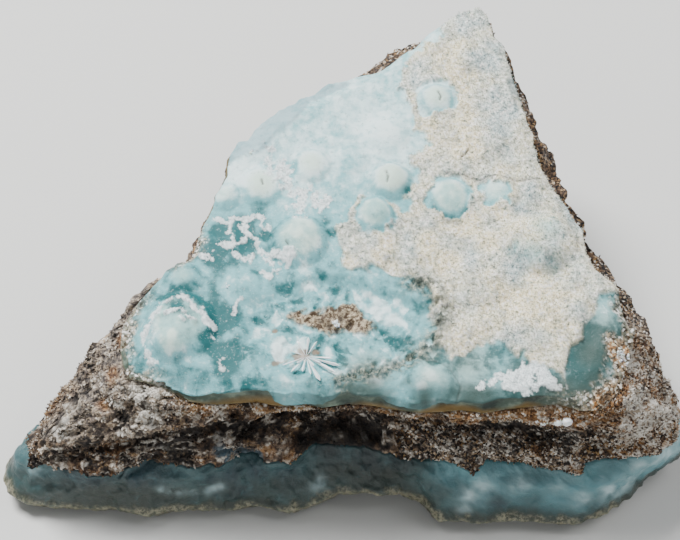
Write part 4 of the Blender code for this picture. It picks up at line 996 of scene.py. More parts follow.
# %% Broken places and stains
def broken_places(xy):
    """Gives the broken scarp, the brown nucleus in the pocket, the rust, and the dark cracks."""
    flat = on_plane(xy)
    scarp = smooth(-0.6, 0.3, rough_noise(flat, 1.0, 141, 3) + 0.35)
    scarp = 1.25 * near_path(xy, SCARP, 1.5) * scarp
    nucleus = depth_inside(xy, NUCLEUS) + 0.5 * rough_noise(flat, 1.1, 142)
    rust = np.maximum(near_spots(xy, RUST_SPOTS), 0.7 * near_path(xy, RUST_STREAK, 0.4))
    rust = smooth(0.25, 0.7, rust + 0.35 * rough_noise(flat, 0.8, 143, 2) * (rust > 0.05))
    crack = near_spots(xy, DARK_HOLES)
    lines = [(path, 1.0, 0.13) for path in CROWN_CRACKS]
    lines += [(DRUSE_CRACK, 0.55, 0.22), (LOBE_OUTLINE, 0.5, 0.16)]
    for path, strength, width in lines:
        crack = np.maximum(crack, strength * near_path(xy, path, width))
    return {"scarp": scarp, "nucleus": smooth(-0.5, 0.3, nucleus), "rust": rust, "crack": crack}


# %% Along the edge of the crust
def edge_places(xy):
    """Gives what lies along the crust's edge: the grey facet, earthy stains and orange growth."""
    flat = on_plane(xy)
    edge = distance_to_path(xy, CRUST_EDGE, closed=True)
    facet = smooth(-0.3, 0.3, depth_inside(xy, CHAMFER_FACET) + 0.3 * rough_noise(flat, 1.0, 145))
    facet *= smooth(4.2, 3.2, edge)
    earthy = smooth(1.6, 0.2, edge + 0.9 * rough_noise(flat, 1.8, 148))
    earthy = earthy * near_spots(xy, EARTHY_EDGES)
    growth = depth_inside(xy, ORANGE_GROWTH) + 1.0 * rough_noise(flat, 1.6, 149)
    ring = np.hypot(*(xy - np.array(GROWTH_CRYSTAL)).T)
    ring = np.exp(-((ring - 1.5) / 0.8) ** 2) + near_spots(xy, ORANGE_SPOTS)
    ring = ring * (0.75 + 0.5 * rough_noise(flat, 1.2, 146))
    return {"facet": facet, "earthy": np.clip(1.4 * earthy, 0.0, 1.0),
            "growth": smooth(-0.9, 1.1, growth), "ring": np.clip(ring, 0.0, 1.0)}


# %% All the values of the face
def crust_marks(xy):
    """Works out where each finish of the crust's face shows, from 0 to 1 for each point."""
    flat = on_plane(xy)
    rise = dome_rise(xy)
    front = smooth(-26.2, -28.4, xy[:, 1] + 0.5 * rough_noise(flat, 3.0, 150))
    front = front * smooth(-12.0, -6.0, xy[:, 0])
    thinned = front * (1.0 - near_spots(xy, PALE_SCALLOPS))
    thinned = np.maximum(thinned, near_spots(xy, GREY_PLACES))
    tint = near_spots(xy, CREAM_TINTS) - near_spots(xy, BLUE_TINTS)
    tint = 0.55 + 0.6 * tint + 0.5 * rough_noise(flat, 3.0, 147)
    inner = smooth(0.2, 1.0, pocket_share(xy))
    return {"milky": milk_share(xy, rise, inner), "druse": druse_share(xy),
            "crumb": crumb_share(xy), "tint": np.clip(tint, 0.0, 1.0),
            "thinned": np.clip(thinned, 0.0, 1.0), "core": smooth(0.35, 0.85, rise),
            "muted": 0.75 * near_spots(xy, MUTED_PLACES), **broken_places(xy), **edge_places(xy)}


# %% The fine relief of the face
def crust_relief(xy, marks):
    """Adds the fine relief: felt, crumbs, crests, grooves and the broken floor of the pocket."""
    flat = on_plane(xy)
    gap, _, _ = cell_noise(flat, 0.95, 151)
    fine_gap, _, _ = cell_noise(flat, 0.42, 152)
    lumps = 0.5 * rough_noise(flat, 1.9, 153) + 0.45 * (0.6 - gap)
    dunes = 0.34 * rough_noise(flat, 3.4, 154, 2) * smooth(34.0, 26.0, xy[:, 1])
    druse = marks["druse"] * (0.24 + 0.34 * lumps + 0.14 * (0.6 - fine_gap) + dunes)
    crumb = marks["crumb"] * (0.06 + 0.10 * rough_noise(flat, 0.5, 155, 2))
    crests = np.zeros(len(xy))
    for width, path in STRAND_CRESTS:
        crests = np.maximum(crests, near_path(xy, path, width))
    crests *= 0.26 + 0.24 * rough_noise(flat, 0.9, 156, 2)
    bare = 0.05 * rough_noise(flat, 1.6, 157, 3)
    _, _, step = cell_noise(on_plane(xy @ CLEAVAGE), 1.9, 165)
    broken = 0.28 * np.abs(rough_noise(flat, 2.2, 158, 4)) + 0.16 * step
    broken = broken * pocket_share(xy)
    scarp = 0.5 * marks["scarp"] * rough_noise(flat, 0.9, 159, 3)
    nucleus = marks["nucleus"] * (0.15 + 0.30 * rough_noise(flat, 0.9, 161, 2))
    facet = marks["facet"] * 0.18 * rough_noise(flat, 1.2, 163)
    facet += (marks["growth"] + marks["earthy"]) * 0.3 * rough_noise(flat, 1.3, 164)
    groove = -0.35 * near_spots(xy, TEAL_SPOTS) * (1.0 - marks["druse"]) - 0.3 * marks["crack"]
    return druse + crumb + crests + bare + broken + scarp + nucleus + facet + groove


# %% [markdown]
# ## The broken wall of the upper crust
#
# At the front the crust shows its own thickness, about three millimetres. The wall starts on the
# ragged ring of the face and ends on the contact. Along X, tables say how far down the pale skin
# reaches before the grey section starts, and how amber the section is.

# %% Building the upper crust: place along X in millimetres and share, from 0 to 1
CUT_START = [(-30, 0.1), (-17, 0.12), (-10.5, 0.08), (-9.6, 0.8), (-5, 1.0), (-3, 0.5), (-1, 0.15),
             (5, 0.25), (8, 0.6), (11, 0.6), (13, 0.3), (16, 0.12), (24, 0.1), (31, 0.08), (40, 0.2)]
AMBER_ALONG = [(-25, 0.4), (-17, 0.6), (-10, 0.9), (-7, 0.2), (-1, 0.1), (4, 0.7), (7, 0.6), (9, 0.3),
               (12, 0.8), (15, 1.0), (18, 0.8), (22, 0.4), (25, 0.8), (28, 0.3), (32, 0.5), (40, 0.9)]
FACE_SPACING = 0.205
FACE_MARGIN = 0.18
CRUST_STEPS = (0.21, 0.25)
WALL_ROWS = 14
THINNEST_EDGE = 0.3


def crust_rim(angles):
    """Gives how far the face reaches in each direction: the traced edge with ragged chips."""
    edge, _ = reach_of(CRUST_EDGE, angles)
    ring = at_reach(angles, edge)
    ragged = 0.25 + 0.55 * near_spots(ring, RAGGED_EDGES)
    chips = ragged * rough_noise(on_plane(ring), 2.4, 171, 4) - 0.05
    return edge + chips


def crust_foot(angles):
    """Gives how far the crust's foot reaches in each direction: the traced edge and a flare."""
    edge, _ = reach_of(CRUST_EDGE, angles)
    return edge + read_table(CRUST_FLARE, np.degrees(angles))


def crust_wall(high, low):
    """Carries the wall straight from the face's ring to the foot, and roughens it in between."""
    share = np.linspace(0.0, 1.0, WALL_ROWS + 1)[:, None]
    grid = high[None] + (low - high)[None] * share[:, :, None]
    push = 0.30 * rough_noise(grid.reshape(-1, 3), 2.4, 173, 4) - 0.05
    push = push.reshape(grid.shape[:2]) * np.sin(math.pi * np.clip(share * 0.92 + 0.04, 0, 1))
    push[0] = 0.0
    push[-1] = 0.0
    return pushed_out(grid, push)


def section_marks(points, section):
    """Gives where the wall's section starts, and how amber it is, from the share down the wall."""
    start = read_table(CUT_START, points[:, 0])
    start = start + 0.12 * rough_noise(on_plane(points[:, :2]), 1.6, 175)
    sides = smooth(-24.0, -18.0, points[:, 1])
    start = start * (1.0 - sides) + 0.25 * sides
    cut = smooth(-0.12, 0.12, section - start) * (section > 0.0)
    return {"section": section, "cut": cut, "amber": read_table(AMBER_ALONG, points[:, 0])}


# %% Putting the upper crust together
def build_upper_crust(material):
    """Closes the crust: face lattice, wall rows from edge to contact, and a plain underside."""
    angles = wall_directions(CRUST_EDGE, *CRUST_STEPS)
    count = len(angles)
    rim = crust_rim(angles)
    inner = lattice_inside(angles, rim, FACE_SPACING, FACE_MARGIN, 172)
    face = np.vstack([at_reach(angles, rim), inner])
    marks = crust_marks(face)
    height = solid_face(face) + crust_relief(face, marks)
    height = np.maximum(height, upper_contact(face) + HALF_GAP + THINNEST_EDGE)
    face = np.column_stack([face, height])
    foot = crust_foot(angles)
    rows = crust_wall(face[:count], beside_contact(at_reach(angles, foot), upper_contact, 1.0))
    under = hidden_sheet(angles, foot, upper_contact, 1.0, 174)
    points, triangles = closed_layer(angles, face[count:], rows, under)
    wall_marks = crust_marks(rows[1:].reshape(-1, 3)[:, :2])
    wall_marks["crumb"] = np.zeros(len(wall_marks["crumb"]))
    under_marks = crust_marks(under[:, :2])
    all_marks = {}
    for name, values in marks.items():
        parts = [values[:count], wall_marks[name], values[count:], under_marks[name]]
        all_marks[name] = np.concatenate(parts)
    down = np.repeat(np.linspace(0.0, 1.0, WALL_ROWS + 1), count)
    section = np.concatenate([down, np.zeros(len(inner)), np.ones(len(under))])
    all_marks.update(section_marks(points, section))
    return new_piece("upper_crust_fine", points, triangles, all_marks, material)


# %% [markdown]
# ## The crust's finish
#
# Packed aurichalcite needles scatter light under the surface, so the crust looks like wax. The
# ground runs from teal in the hollows to milky blue on the domes. Cream felt, white crumbs, brown
# stains and the greenish broken section lie over it. Subsurface light is kept short, because the
# crust is only about three millimetres thick.

# %% Pale crust finish
TEAL = colour(0.12, 0.37, 0.38)
PALE_BLUE = colour(0.48, 0.71, 0.73)
MILK = colour(0.87, 0.95, 0.95)
CREAM = colour(0.92, 0.88, 0.75)
CREAM_SHADE = colour(0.50, 0.54, 0.49)
WHITE = colour(0.94, 0.93, 0.91)
SECTION_DARK = colour(0.17, 0.22, 0.20)
SECTION_GREY = colour(0.29, 0.35, 0.31)
SECTION_PALE = colour(0.47, 0.53, 0.47)
SECTION_AMBER = colour(0.46, 0.37, 0.20)
AMBER = colour(0.72, 0.48, 0.22)
FELT_SHADE = colour(0.42, 0.50, 0.51)
FELT_BLUE = colour(0.74, 0.79, 0.78)
FELT_PIT_SHADE = colour(0.36, 0.38, 0.36)
RUST = colour(0.56, 0.40, 0.26)
BROWN = colour(0.30, 0.24, 0.18)
TAN = colour(0.68, 0.62, 0.52)
SNOW = colour(0.91, 0.94, 0.94)
FACET_GREY = colour(0.52, 0.64, 0.67)
CLEAR_GREY = colour(0.25, 0.33, 0.31)
MUTED_GREEN = colour(0.62, 0.71, 0.68)
PIT_BROWN = colour(0.15, 0.12, 0.09)
CORE_GREEN = colour(0.78, 0.87, 0.80)
LICHEN = colour(0.50, 0.52, 0.47)


# %% The ground and the felt of the pale crust
def waxy_ground(tree, milky):
    """Runs from teal through pale blue to milk, with flecks, dots, green cores and clear grey."""
    ground = ramp(tree, milky, [(0.05, TEAL), (0.5, PALE_BLUE), (0.95, MILK)])
    flecks = rising(tree, grain(tree, 0.45, 4.0, 0.7), 0.54, 0.72)
    ground = layer(tree, sums(tree, "MULTIPLY", flecks, 0.30), ground, MILK)
    dots = rising(tree, grain(tree, 0.8, 5.0, 0.7), 0.45, 0.32)
    ground = layer(tree, sums(tree, "MULTIPLY", dots, 0.35), ground, TEAL)
    ground = covered(tree, ground, "core", sums(tree, "MULTIPLY", milky, 0.8), CORE_GREEN)
    muted = ramp(tree, milky, [(0.10, CLEAR_GREY), (0.60, MUTED_GREEN), (0.95, MILK)])
    ground = layer(tree, stored(tree, "muted"), ground, muted)
    return covered(tree, ground, "thinned", 0.95, CLEAR_GREY)


def felt_colour(tree, speck):
    """Goes from a cool to a warm felt by the stored tint, with painted shade in patches and small pits."""
    warm = ramp(tree, speck, [(0.31, CREAM_SHADE), (0.47, CREAM), (0.64, WHITE)])
    cool = ramp(tree, speck, [(0.31, FELT_SHADE), (0.48, FELT_BLUE), (0.66, WHITE)])
    felt = layer(tree, stored(tree, "tint"), cool, warm)
    # Painted shade: cloudy patches darken the felt as shade between its lumps, and small dark specks stand
    # for shade in pits.
    hollows = rising(tree, grain(tree, 2.0, 5.0, 0.68), 0.50, 0.34)
    felt = layer(tree, sums(tree, "MULTIPLY", hollows, 0.42), felt, FELT_SHADE)
    pits = rising(tree, grain(tree, 0.9, 3.0, 0.7), 0.36, 0.28)
    return layer(tree, sums(tree, "MULTIPLY", pits, 0.10), felt, FELT_PIT_SHADE)


# %% The section, the earthy edge and the whole stack
def section_colour(tree):
    """Clouds the broken section from dark to pale green grey, and stains it amber lower down."""
    section = ramp(tree, grain(tree, 3.0, 4.0), [(0.35, SECTION_DARK), (0.5, SECTION_GREY),
                                                 (0.7, SECTION_PALE)])
    amber = sums(tree, "ADD", stored(tree, "section"), stored(tree, "amber"))
    return layer(tree, rising(tree, amber, 1.1, 1.7), section, SECTION_AMBER)


def with_earth(tree, ground):
    """Lays earthy grains along the edge, and brown or orange ones on the growth at the right."""
    pick = grain_pick(tree, 0.34, 0.9)
    earth = ramp(tree, pick, [(0.16, BROWN), (0.44, LICHEN), (0.70, TAN), (0.95, WHITE)])
    ground = covered(tree, ground, "earthy", 0.85, earth)
    plain = ramp(tree, pick, [(0.12, BROWN), (0.40, LICHEN), (0.66, TAN), (0.92, WHITE)])
    ember = ramp(tree, pick, [(0.12, BROWN), (0.36, RUST), (0.62, AMBER), (0.92, CREAM)])
    ember = layer(tree, stored(tree, "ring"), plain, ember)
    return layer(tree, stored(tree, "growth"), ground, ember)


def crust_finish():
    """Stacks teal, milk, felt, crumbs, stains and section over a waxy ground."""
    material, tree, shader = new_finish("pale waxy crust")
    cloudy = grain(tree, 1.1, 5.0, 0.6)
    drift = sums(tree, "SUBTRACT", cloudy, 0.5)
    ground = waxy_ground(tree, sums(tree, "MULTIPLY_ADD", drift, 0.62, stored(tree, "milky")))
    speck = grain(tree, 0.55, 3.0, 0.75)
    ground = layer(tree, stored(tree, "druse"), ground, felt_colour(tree, speck))
    ground = covered(tree, ground, "crumb", rising(tree, speck, 0.18, 0.48), SNOW)
    ground = covered(tree, ground, "facet", 0.7, FACET_GREY)
    broken = grain(tree, 0.7, 5.0, 0.7)
    scarp = ramp(tree, broken, [(0.42, SECTION_DARK), (0.55, LICHEN), (0.72, CREAM)])
    ground = covered(tree, ground, "scarp", 0.72, scarp)
    nucleus = ramp(tree, grain(tree, 0.6, 4.0, 0.7), [(0.44, BROWN), (0.57, TAN), (0.74, CREAM)])
    ground = layer(tree, stored(tree, "nucleus"), ground, nucleus)
    ground = covered(tree, ground, "rust", 0.7, RUST)
    ground = covered(tree, ground, "crack", 0.85, PIT_BROWN)
    cut = rising(tree, stored(tree, "cut"), 0.3, 0.6)
    ground = with_earth(tree, layer(tree, cut, ground, section_colour(tree)))
    feed(tree, shader.inputs["Base Color"], ground)
    set_glow(shader, 0.25, (0.8, 1.0, 1.0), 0.5)
    shader.inputs["Specular IOR Level"].default_value = 0.25
    rough = sums(tree, "MULTIPLY_ADD", stored(tree, "druse"), 0.4, 0.42)
    feed(tree, shader.inputs["Roughness"], rough)
    height = sums(tree, "ADD", grain(tree, 0.16, 3.0, 0.7), sums(tree, "MULTIPLY", cloudy, 1.5))
    bumped(tree, shader, height, 0.08)
    return material


upper_crust = build_upper_crust(crust_finish())
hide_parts("upper_crust")


# %% [markdown]
# ## The matrix
#
# Brown limonite, broken in ledges along its beds, with a deep crevice under the crust. Its wall
# is one grid: rows from the upper contact down to the lower one, columns round the specimen.
# The rows follow the solids' lines, and then every point is pushed out or in along the wall's
# own direction by lumps, beds and grains, so that ledges facing up are as rough as the sides.

# %% The matrix's wall, straight and then broken
MATRIX_ROWS = (24, 12, 24, 24, 11)
CONTACT_MARGIN = 0.15


def broken_foot(angles):
    """Places the line where the matrix ends on the lower crust: the traced line, chipped."""
    reach, _ = reach_of(MATRIX_FOOT, angles)
    chips = 0.65 * rough_noise(on_plane(at_reach(angles, reach)), 2.2, 177, 5)
    return at_reach(angles, reach + chips)


def matrix_lines(angles):
    """Reads the named lines of the matrix at each column, from brim to foot."""
    brim = at_reach(angles, crust_foot(angles))
    trim = read_table(MATRIX_TRIM, np.degrees(angles), 360.0)
    trim = trim + read_table(LEFT_TRIM, np.degrees(angles), 360.0)
    lines = [beside_contact(brim, upper_contact, -1.0)]
    for line in (MATRIX_BRINK, MATRIX_LIP, MATRIX_CREVICE, MATRIX_SHELF):
        reach, height = reach_of(line, angles)
        lines.append(np.column_stack([at_reach(angles, reach - trim), height]))
    lines.append(beside_contact(broken_foot(angles), lower_contact, 1.0))
    return lines


def carried_wall(lines, counts):
    """Carries the wall straight from each line to the next in a number of even rows."""
    rows = []
    for upper, lower, count in zip(lines, lines[1:], counts):
        share = np.linspace(0.0, 1.0, count, endpoint=False)[:, None, None]
        rows.append(upper[None] + (lower - upper)[None] * share)
    rows.append(lines[-1][None])
    return np.vstack(rows)


def fading_ends(rows, reach):
    """Gives 0 on the first and last row and 1 once a number of rows away from both."""
    row = np.arange(rows)
    return np.clip(np.minimum(row, rows - 1 - row) / reach, 0.0, 1.0)[:, None]


# %% Breaking the wall as the solids are broken
def broken_matrix(grid, angles):
    """Shifts the wall as the solids are shifted: lumps, beds with ledges, and waves."""
    flat = grid.reshape(-1, 3)
    wild = np.clip((flat[:, 1] + 24.0) / 20.0, 0.0, 1.0)
    rough = (0.6 + 0.7 * wild) * rough_noise(flat, 7.0, 71) + 0.4 * rough_noise(flat, 2.6, 75, 2)
    bed = (flat[:, 2] + 1.5 * soft_noise(flat * np.array([1.0, 1.0, 0.2]), 9.0, 79)) / BED_HEIGHT
    ledge = (0.7 + 0.7 * wild) * (bed - np.floor(bed) - 0.5)
    fade = fading_ends(len(grid), 7.0)
    push = (rough + ledge).reshape(grid.shape[:2]) * fade
    outward = np.column_stack([np.cos(angles), np.sin(angles)])
    moved = grid.copy()
    moved[:, :, :2] += outward[None] * push[:, :, None]
    wave = 0.35 * soft_noise(flat, 5.0, 83)
    moved[:, :, 2] += wave.reshape(grid.shape[:2]) * fade
    plan = moved.reshape(-1, 3)[:, :2]
    low = (lower_contact(plan) + HALF_GAP + CONTACT_MARGIN).reshape(grid.shape[:2])
    high = (upper_contact(plan) - HALF_GAP - CONTACT_MARGIN).reshape(grid.shape[:2])
    moved[1:-1, :, 2] = np.clip(moved[1:-1, :, 2], low[1:-1], high[1:-1])
    return moved


# %% [markdown]
# ## Where the matrix changes colour
#
# White lumps, rusty seams and shaded hollows follow the layers of the rock, so they are spots and
# paths in space, not in plan. How far a point lies back under the ledges, and whether it stands
# up out of the wall, matter as much: hollows and the rock back under the ledges get painted shade,
# and knobs and the brow under the crust get painted light.

# %% Where the matrix's finishes lie: x, y, z, radius
WHITE_LUMPS = [
    (-41.0, -29.0, 15.5, 1.7), (-40.3, -28.6, 16.2, 1.5), (-28.5, -26.9, 22.9, 1.9),
    (-27.1, -27.3, 22.3, 1.9), (-27.1, -28.7, 20.9, 1.8), (-32.1, -26.6, 21.3, 1.8),
    (-31.5, -29.1, 18.7, 1.2), (-29.0, -28.6, 19.2, 1.3), (-23.6, -28.6, 21.8, 1.4),
    (-33.7, -17.7, 23.4, 1.0), (-37.5, -26.8, 17.4, 1.2), (-20.4, -28.8, 21.6, 1.0),
    (-17.4, -28.7, 20.6, 1.1), (-34.0, -20.5, 21.8, 1.0), (14.1, -29.5, 12.8, 1.1),
    (15.0, -29.5, 14.1, 1.0), (16.2, -30.2, 13.2, 0.9), (39.8, -27.6, 22.8, 1.7),
    (39.4, -29.7, 18.4, 1.6), (42.0, -28.3, 15.7, 1.8), (41.3, -26.0, 20.8, 2.0),
    (43.0, -27.2, 17.6, 1.8), (40.6, -28.2, 20.6, 1.8),
    (48.1, -22.9, 11.9, 1.2), (45.0, -21.8, 19.2, 1.2), (43.1, -25.7, 19.9, 1.2),
    (3.0, -26.2, 11.6, 0.8), (-18.0, -27.8, 13.8, 0.9), (45.6, -25.4, 16.0, 1.2),
    (-24.9, -29.4, 12.7, 0.8), (33.5, -31.2, 12.0, 0.8), (40.2, -22.6, 23.6, 1.2)]
BLUE_PATCHES = [(-17.0, -29.6, 12.4, 1.7), (-15.0, -28.4, 10.8, 1.5), (-12.8, -28.8, 10.4, 1.3)]
ORANGE_PLACES = [
    (-32.2, -23.4, 22.7, 1.6), (-31.0, -18.6, 24.5, 1.6), (-33.6, -26.9, 20.4, 1.3),
    (-37.8, -31.0, 11.3, 1.8), (-35.6, -31.7, 10.9, 1.6), (-33.0, -31.6, 11.0, 1.4),
    (-32.6, -29.7, 13.9, 2.0), (34.0, -30.8, 21.2, 3.0), (36.9, -29.5, 21.2, 3.0),
    (38.4, -29.7, 19.4, 2.6), (35.6, -30.2, 19.4, 3.0), (37.8, -28.4, 23.0, 2.6),
    (4.6, -29.0, 21.6, 1.8), (11.0, -29.4, 21.8, 2.2), (-20.0, -28.6, 21.6, 1.4),
    (27.0, -30.0, 13.6, 1.2), (32.9, -31.7, 11.5, 1.0), (40.4, -29.0, 18.6, 2.2),
    (-10.7, -28.7, 11.6, 1.6), (-7.5, -30.1, 10.7, 1.6), (-19.8, -30.4, 11.4, 1.4), (17.5, -29.9, 21.6, 2.0),
    (25.0, -30.1, 21.6, 1.8), (41.4, -28.2, 14.8, 1.2), (36.9, -25.6, 25.0, 2.2)]
# Painted shade: the recess under the crust and the places below it, mostly under the ledges, are darkened
# where the overhang shades the rock: x, y, z, radius
RECESS_SHADE_PLACES = [(-3.0, -27.0, 10.8, 2.4), (2.0, -26.7, 10.8, 2.6), (-6.6, -27.4, 11.2, 1.6)]
MATRIX_SHADE_PLACES = [(-2.0, -27.0, 11.4, 3.6), (3.5, -26.6, 11.2, 3.2), (-1.0, -24.0, 15.5, 3.0),
               (-27.6, -28.9, 14.5, 2.4), (-23.0, -28.4, 14.8, 3.0),
               (30.0, -29.6, 18.2, 4.0), (22.0, -28.6, 18.2, 4.0), (-14.0, -26.6, 15.6, 4.0),
               (40.0, -29.1, 13.8, 1.6), (-44.0, -30.6, 11.4, 1.2), (-27.5, -26.4, 23.2, 1.0),
               (-30.2, -24.4, 23.4, 1.0), (-24.0, -28.0, 22.6, 1.0), (-20.6, -28.6, 22.0, 1.0)]
LIP_LINES = [
    [(-21.0, -29.0, 19.6), (-19.5, -28.9, 20.9), (-16.3, -28.5, 20.8), (-12.5, -28.2, 20.0),
     (-8.9, -28.3, 18.6), (-7.0, -26.6, 16.2)],
    [(-28.0, -29.6, 14.2), (-22.0, -28.8, 13.2), (-17.5, -27.4, 14.1), (-14.9, -28.2, 13.4)],
    [(-33.0, -30.2, 17.6), (-28.0, -29.6, 18.2), (-23.0, -29.2, 19.4), (-17.0, -29.0, 19.6)],
    [(-1.3, -26.5, 11.6), (3.0, -26.2, 11.6), (8.0, -27.9, 12.2), (10.9, -27.8, 12.9)],
    [(40.2, -26.6, 23.6), (39.8, -28.4, 21.0), (39.6, -29.7, 18.2)],
    [(41.4, -26.4, 21.6), (41.0, -28.0, 19.0), (41.8, -28.4, 16.0)]]
LIP_WIDTH = 0.7
print("matrix:", len(WHITE_LUMPS), "white lumps,", len(ORANGE_PLACES), "rusty places")


# %% Values for the matrix
def pale_places(points, raised, left, right, brow):
    """Gives the white lumps and lips, the rusty places and the grey left end."""
    lip = np.zeros(len(points))
    for path in LIP_LINES:
        lip = np.maximum(lip, near_path(points, path, LIP_WIDTH))
    lumps = near_spots(points, WHITE_LUMPS) + 0.7 * lip + 0.02 * left + 0.42 * right
    # Knobs that stand out of the wall are painted paler: painted light that follows the relief.
    lumps += 0.60 * rough_noise(points, 1.5, 181, 4) + 0.5 * raised
    orange = near_spots(points, ORANGE_PLACES) + 0.35 * rough_noise(points, 1.8, 183, 4)
    orange += 0.35 * brow * (1.0 - left) + 0.50 * right
    grey = 0.75 * left + 0.25 * right + 0.4 * rough_noise(points, 3.0, 185) + 0.08
    blue = near_spots(points, BLUE_PATCHES) + 0.3 * rough_noise(points, 1.2, 189)
    return {"white": smooth(0.55, 0.95, lumps), "orange": smooth(0.25, 0.8, orange),
            "grey": np.clip(grey, 0.0, 1.0), "blue": smooth(0.3, 0.8, blue)}


def dark_share(points, recess, raised, left, right, brow):
    """Gives how dark the rock is painted: painted shade under the ledges, low on the left and in the recess.
    """
    x, _, z = points.T
    # Painted shade: darker back under the ledges, in the recess and under the first ledge on the left,
    # lighter on knobs; the brow is painted darker on the left and lighter on the right.
    dark = 0.42 * smooth(0.4, 2.6, recess) * smooth(20.5, 17.5, z)
    dark += 0.8 * near_spots(points, MATRIX_SHADE_PLACES)
    dark += 0.42 * rough_noise(points, 1.9, 187, 4) - 1.1 * raised
    dark += (0.2 - 0.5 * smooth(14.0, 20.0, x)) * brow
    dark += 0.35 * smooth(-14.0, -20.0, x) * smooth(15.6, 14.2, z) - 1.0 * right
    dark += 1.3 * near_spots(points, RECESS_SHADE_PLACES) + 0.06 * left
    dark += 0.35 * smooth(-19.0, -24.0, x) * smooth(17.6, 15.8, z)
    return np.clip(dark, 0.0, 1.0)


def fleck_share(points, raised, left, brow):
    """Gives thin pale flecks drawn out along the beds at the front, but not in the recess."""
    x, y, _ = points.T
    fleck = rough_noise(points * np.array([0.40, 0.40, 1.8]), 0.55, 190, 4) + 0.30 * raised
    fleck -= 0.15 * brow * (1.0 - smooth(14.0, 20.0, x))
    fleck = smooth(0.36, 0.60, fleck) * smooth(-16.0, -22.0, y) * (1.0 - left)
    return fleck * (1.0 - smooth(0.05, 0.4, near_spots(points, RECESS_SHADE_PLACES)))


def matrix_marks(points, recess, raised):
    """Works out where the matrix is dark with painted shade, white, rusty, grey or blue, from 0 to 1."""
    x, y, z = points.T
    left = smooth(-20.0, -27.0, x) * smooth(14.6, 17.0, z)
    right = smooth(37.5, 40.0, x) * smooth(-12.0, -18.0, y)
    brow = smooth(20.2, 21.2, z) * smooth(-24.0, -27.0, y)
    sandy = smooth(34.0, 38.0, x) + smooth(6.0, 12.0, x) * smooth(16.5, 15.0, z)
    sandy += 0.5 * smooth(-10.0, -4.0, y) + 0.4 * rough_noise(points, 3.0, 188) + 0.45
    # The stored 'raised' also lifts the brow under the crust's edge: painted light against the crust's
    # shadow.
    return {"sandy": np.clip(sandy, 0.0, 1.0), **pale_places(points, raised, left, right, brow),
            "dark": dark_share(points, recess, raised, left, right, brow),
            "fleck": fleck_share(points, raised, left, brow), "lift": 0.14 * right,
            "raised": np.clip(raised + 0.5 + brow, 0.0, 1.8)}


# %% Building the matrix
MATRIX_STEPS = (0.238, 0.46)


def matrix_relief(flat):
    """Gives the fine relief, lumps, boxwork ridges between cells and grains, and broad waves."""
    bent = flat + 0.6 * np.column_stack([rough_noise(flat, 1.6, seed) for seed in (192, 193, 194)])
    gap, second, _ = cell_noise(bent * np.array([0.75, 1.0, 1.3]), 1.9, 191)
    fine_gap, _, _ = cell_noise(flat, 0.75, 193)
    left = smooth(-20.0, -27.0, flat[:, 0])
    boxes = smooth(0.30, 0.0, second - gap) * (0.35 + 0.65 * left)
    raised = 0.34 * rough_noise(flat, 1.5, 195, 4) + 0.50 * (boxes - 0.3)
    raised = raised + 0.22 * (0.5 - fine_gap)
    return raised, 0.45 * rough_noise(flat, 4.0, 196, 2)


def build_matrix(material):
    """Closes the matrix: a plain top, the broken wall and a plain bottom."""
    angles = wall_directions(MATRIX_FOOT, *MATRIX_STEPS)
    lines = matrix_lines(angles)
    grid = broken_matrix(carried_wall(lines, MATRIX_ROWS), angles)
    raised, broad = matrix_relief(grid.reshape(-1, 3))
    push = (raised + broad).reshape(grid.shape[:2])
    grid = pushed_out(grid, push * fading_ends(len(grid), 4.0))
    foot_reach = distance_out(lines[-1][:, :2])
    front = np.minimum(foot_reach, distance_out(lines[1][:, :2]))
    points = grid.reshape(-1, 3)
    recess = np.tile(front, len(grid)) - distance_out(points[:, :2])
    recess = recess * smooth(-20.0, -26.0, points[:, 1])
    marks = matrix_marks(points, np.maximum(recess, 0.0), raised)
    over = hidden_sheet(angles, distance_out(grid[0, :, :2]), upper_contact, -1.0, 197)
    under = hidden_sheet(angles, foot_reach, lower_contact, 1.0, 198)
    points, triangles = closed_layer(angles, over, grid, under)
    hidden = np.zeros(len(over) + len(under))
    all_marks = {name: np.concatenate([values, hidden]) for name, values in marks.items()}
    return new_piece("matrix_fine", points, triangles, all_marks, material)


# %% [markdown]
# ## The matrix's finish
#
# Limonite is a mass of tiny grains of many colours. Cells scattered in space give every grain
# one colour from a short range, and the stored values choose between a brown, a grey, a rusty
# and a chalky range, or lay blue or a near-black painted shade over them. Fine bumps break up the shine.

# %% Brown limonite finish
BLACK_GRAIN_AND_SHADE = colour(0.05, 0.04, 0.035)
EARTH = colour(0.27, 0.19, 0.13)
CLAY = colour(0.47, 0.36, 0.26)
SAND = colour(0.66, 0.57, 0.46)
GOLD = colour(0.66, 0.52, 0.32)
SAND_GREY = colour(0.68, 0.62, 0.54)
ASH = colour(0.42, 0.39, 0.37)
SMOKE = colour(0.17, 0.15, 0.14)
CHALK = colour(0.88, 0.86, 0.82)
OCHRE = colour(0.62, 0.44, 0.24)
EMBER = colour(0.40, 0.26, 0.15)
STONE_BLUE = colour(0.30, 0.42, 0.48)


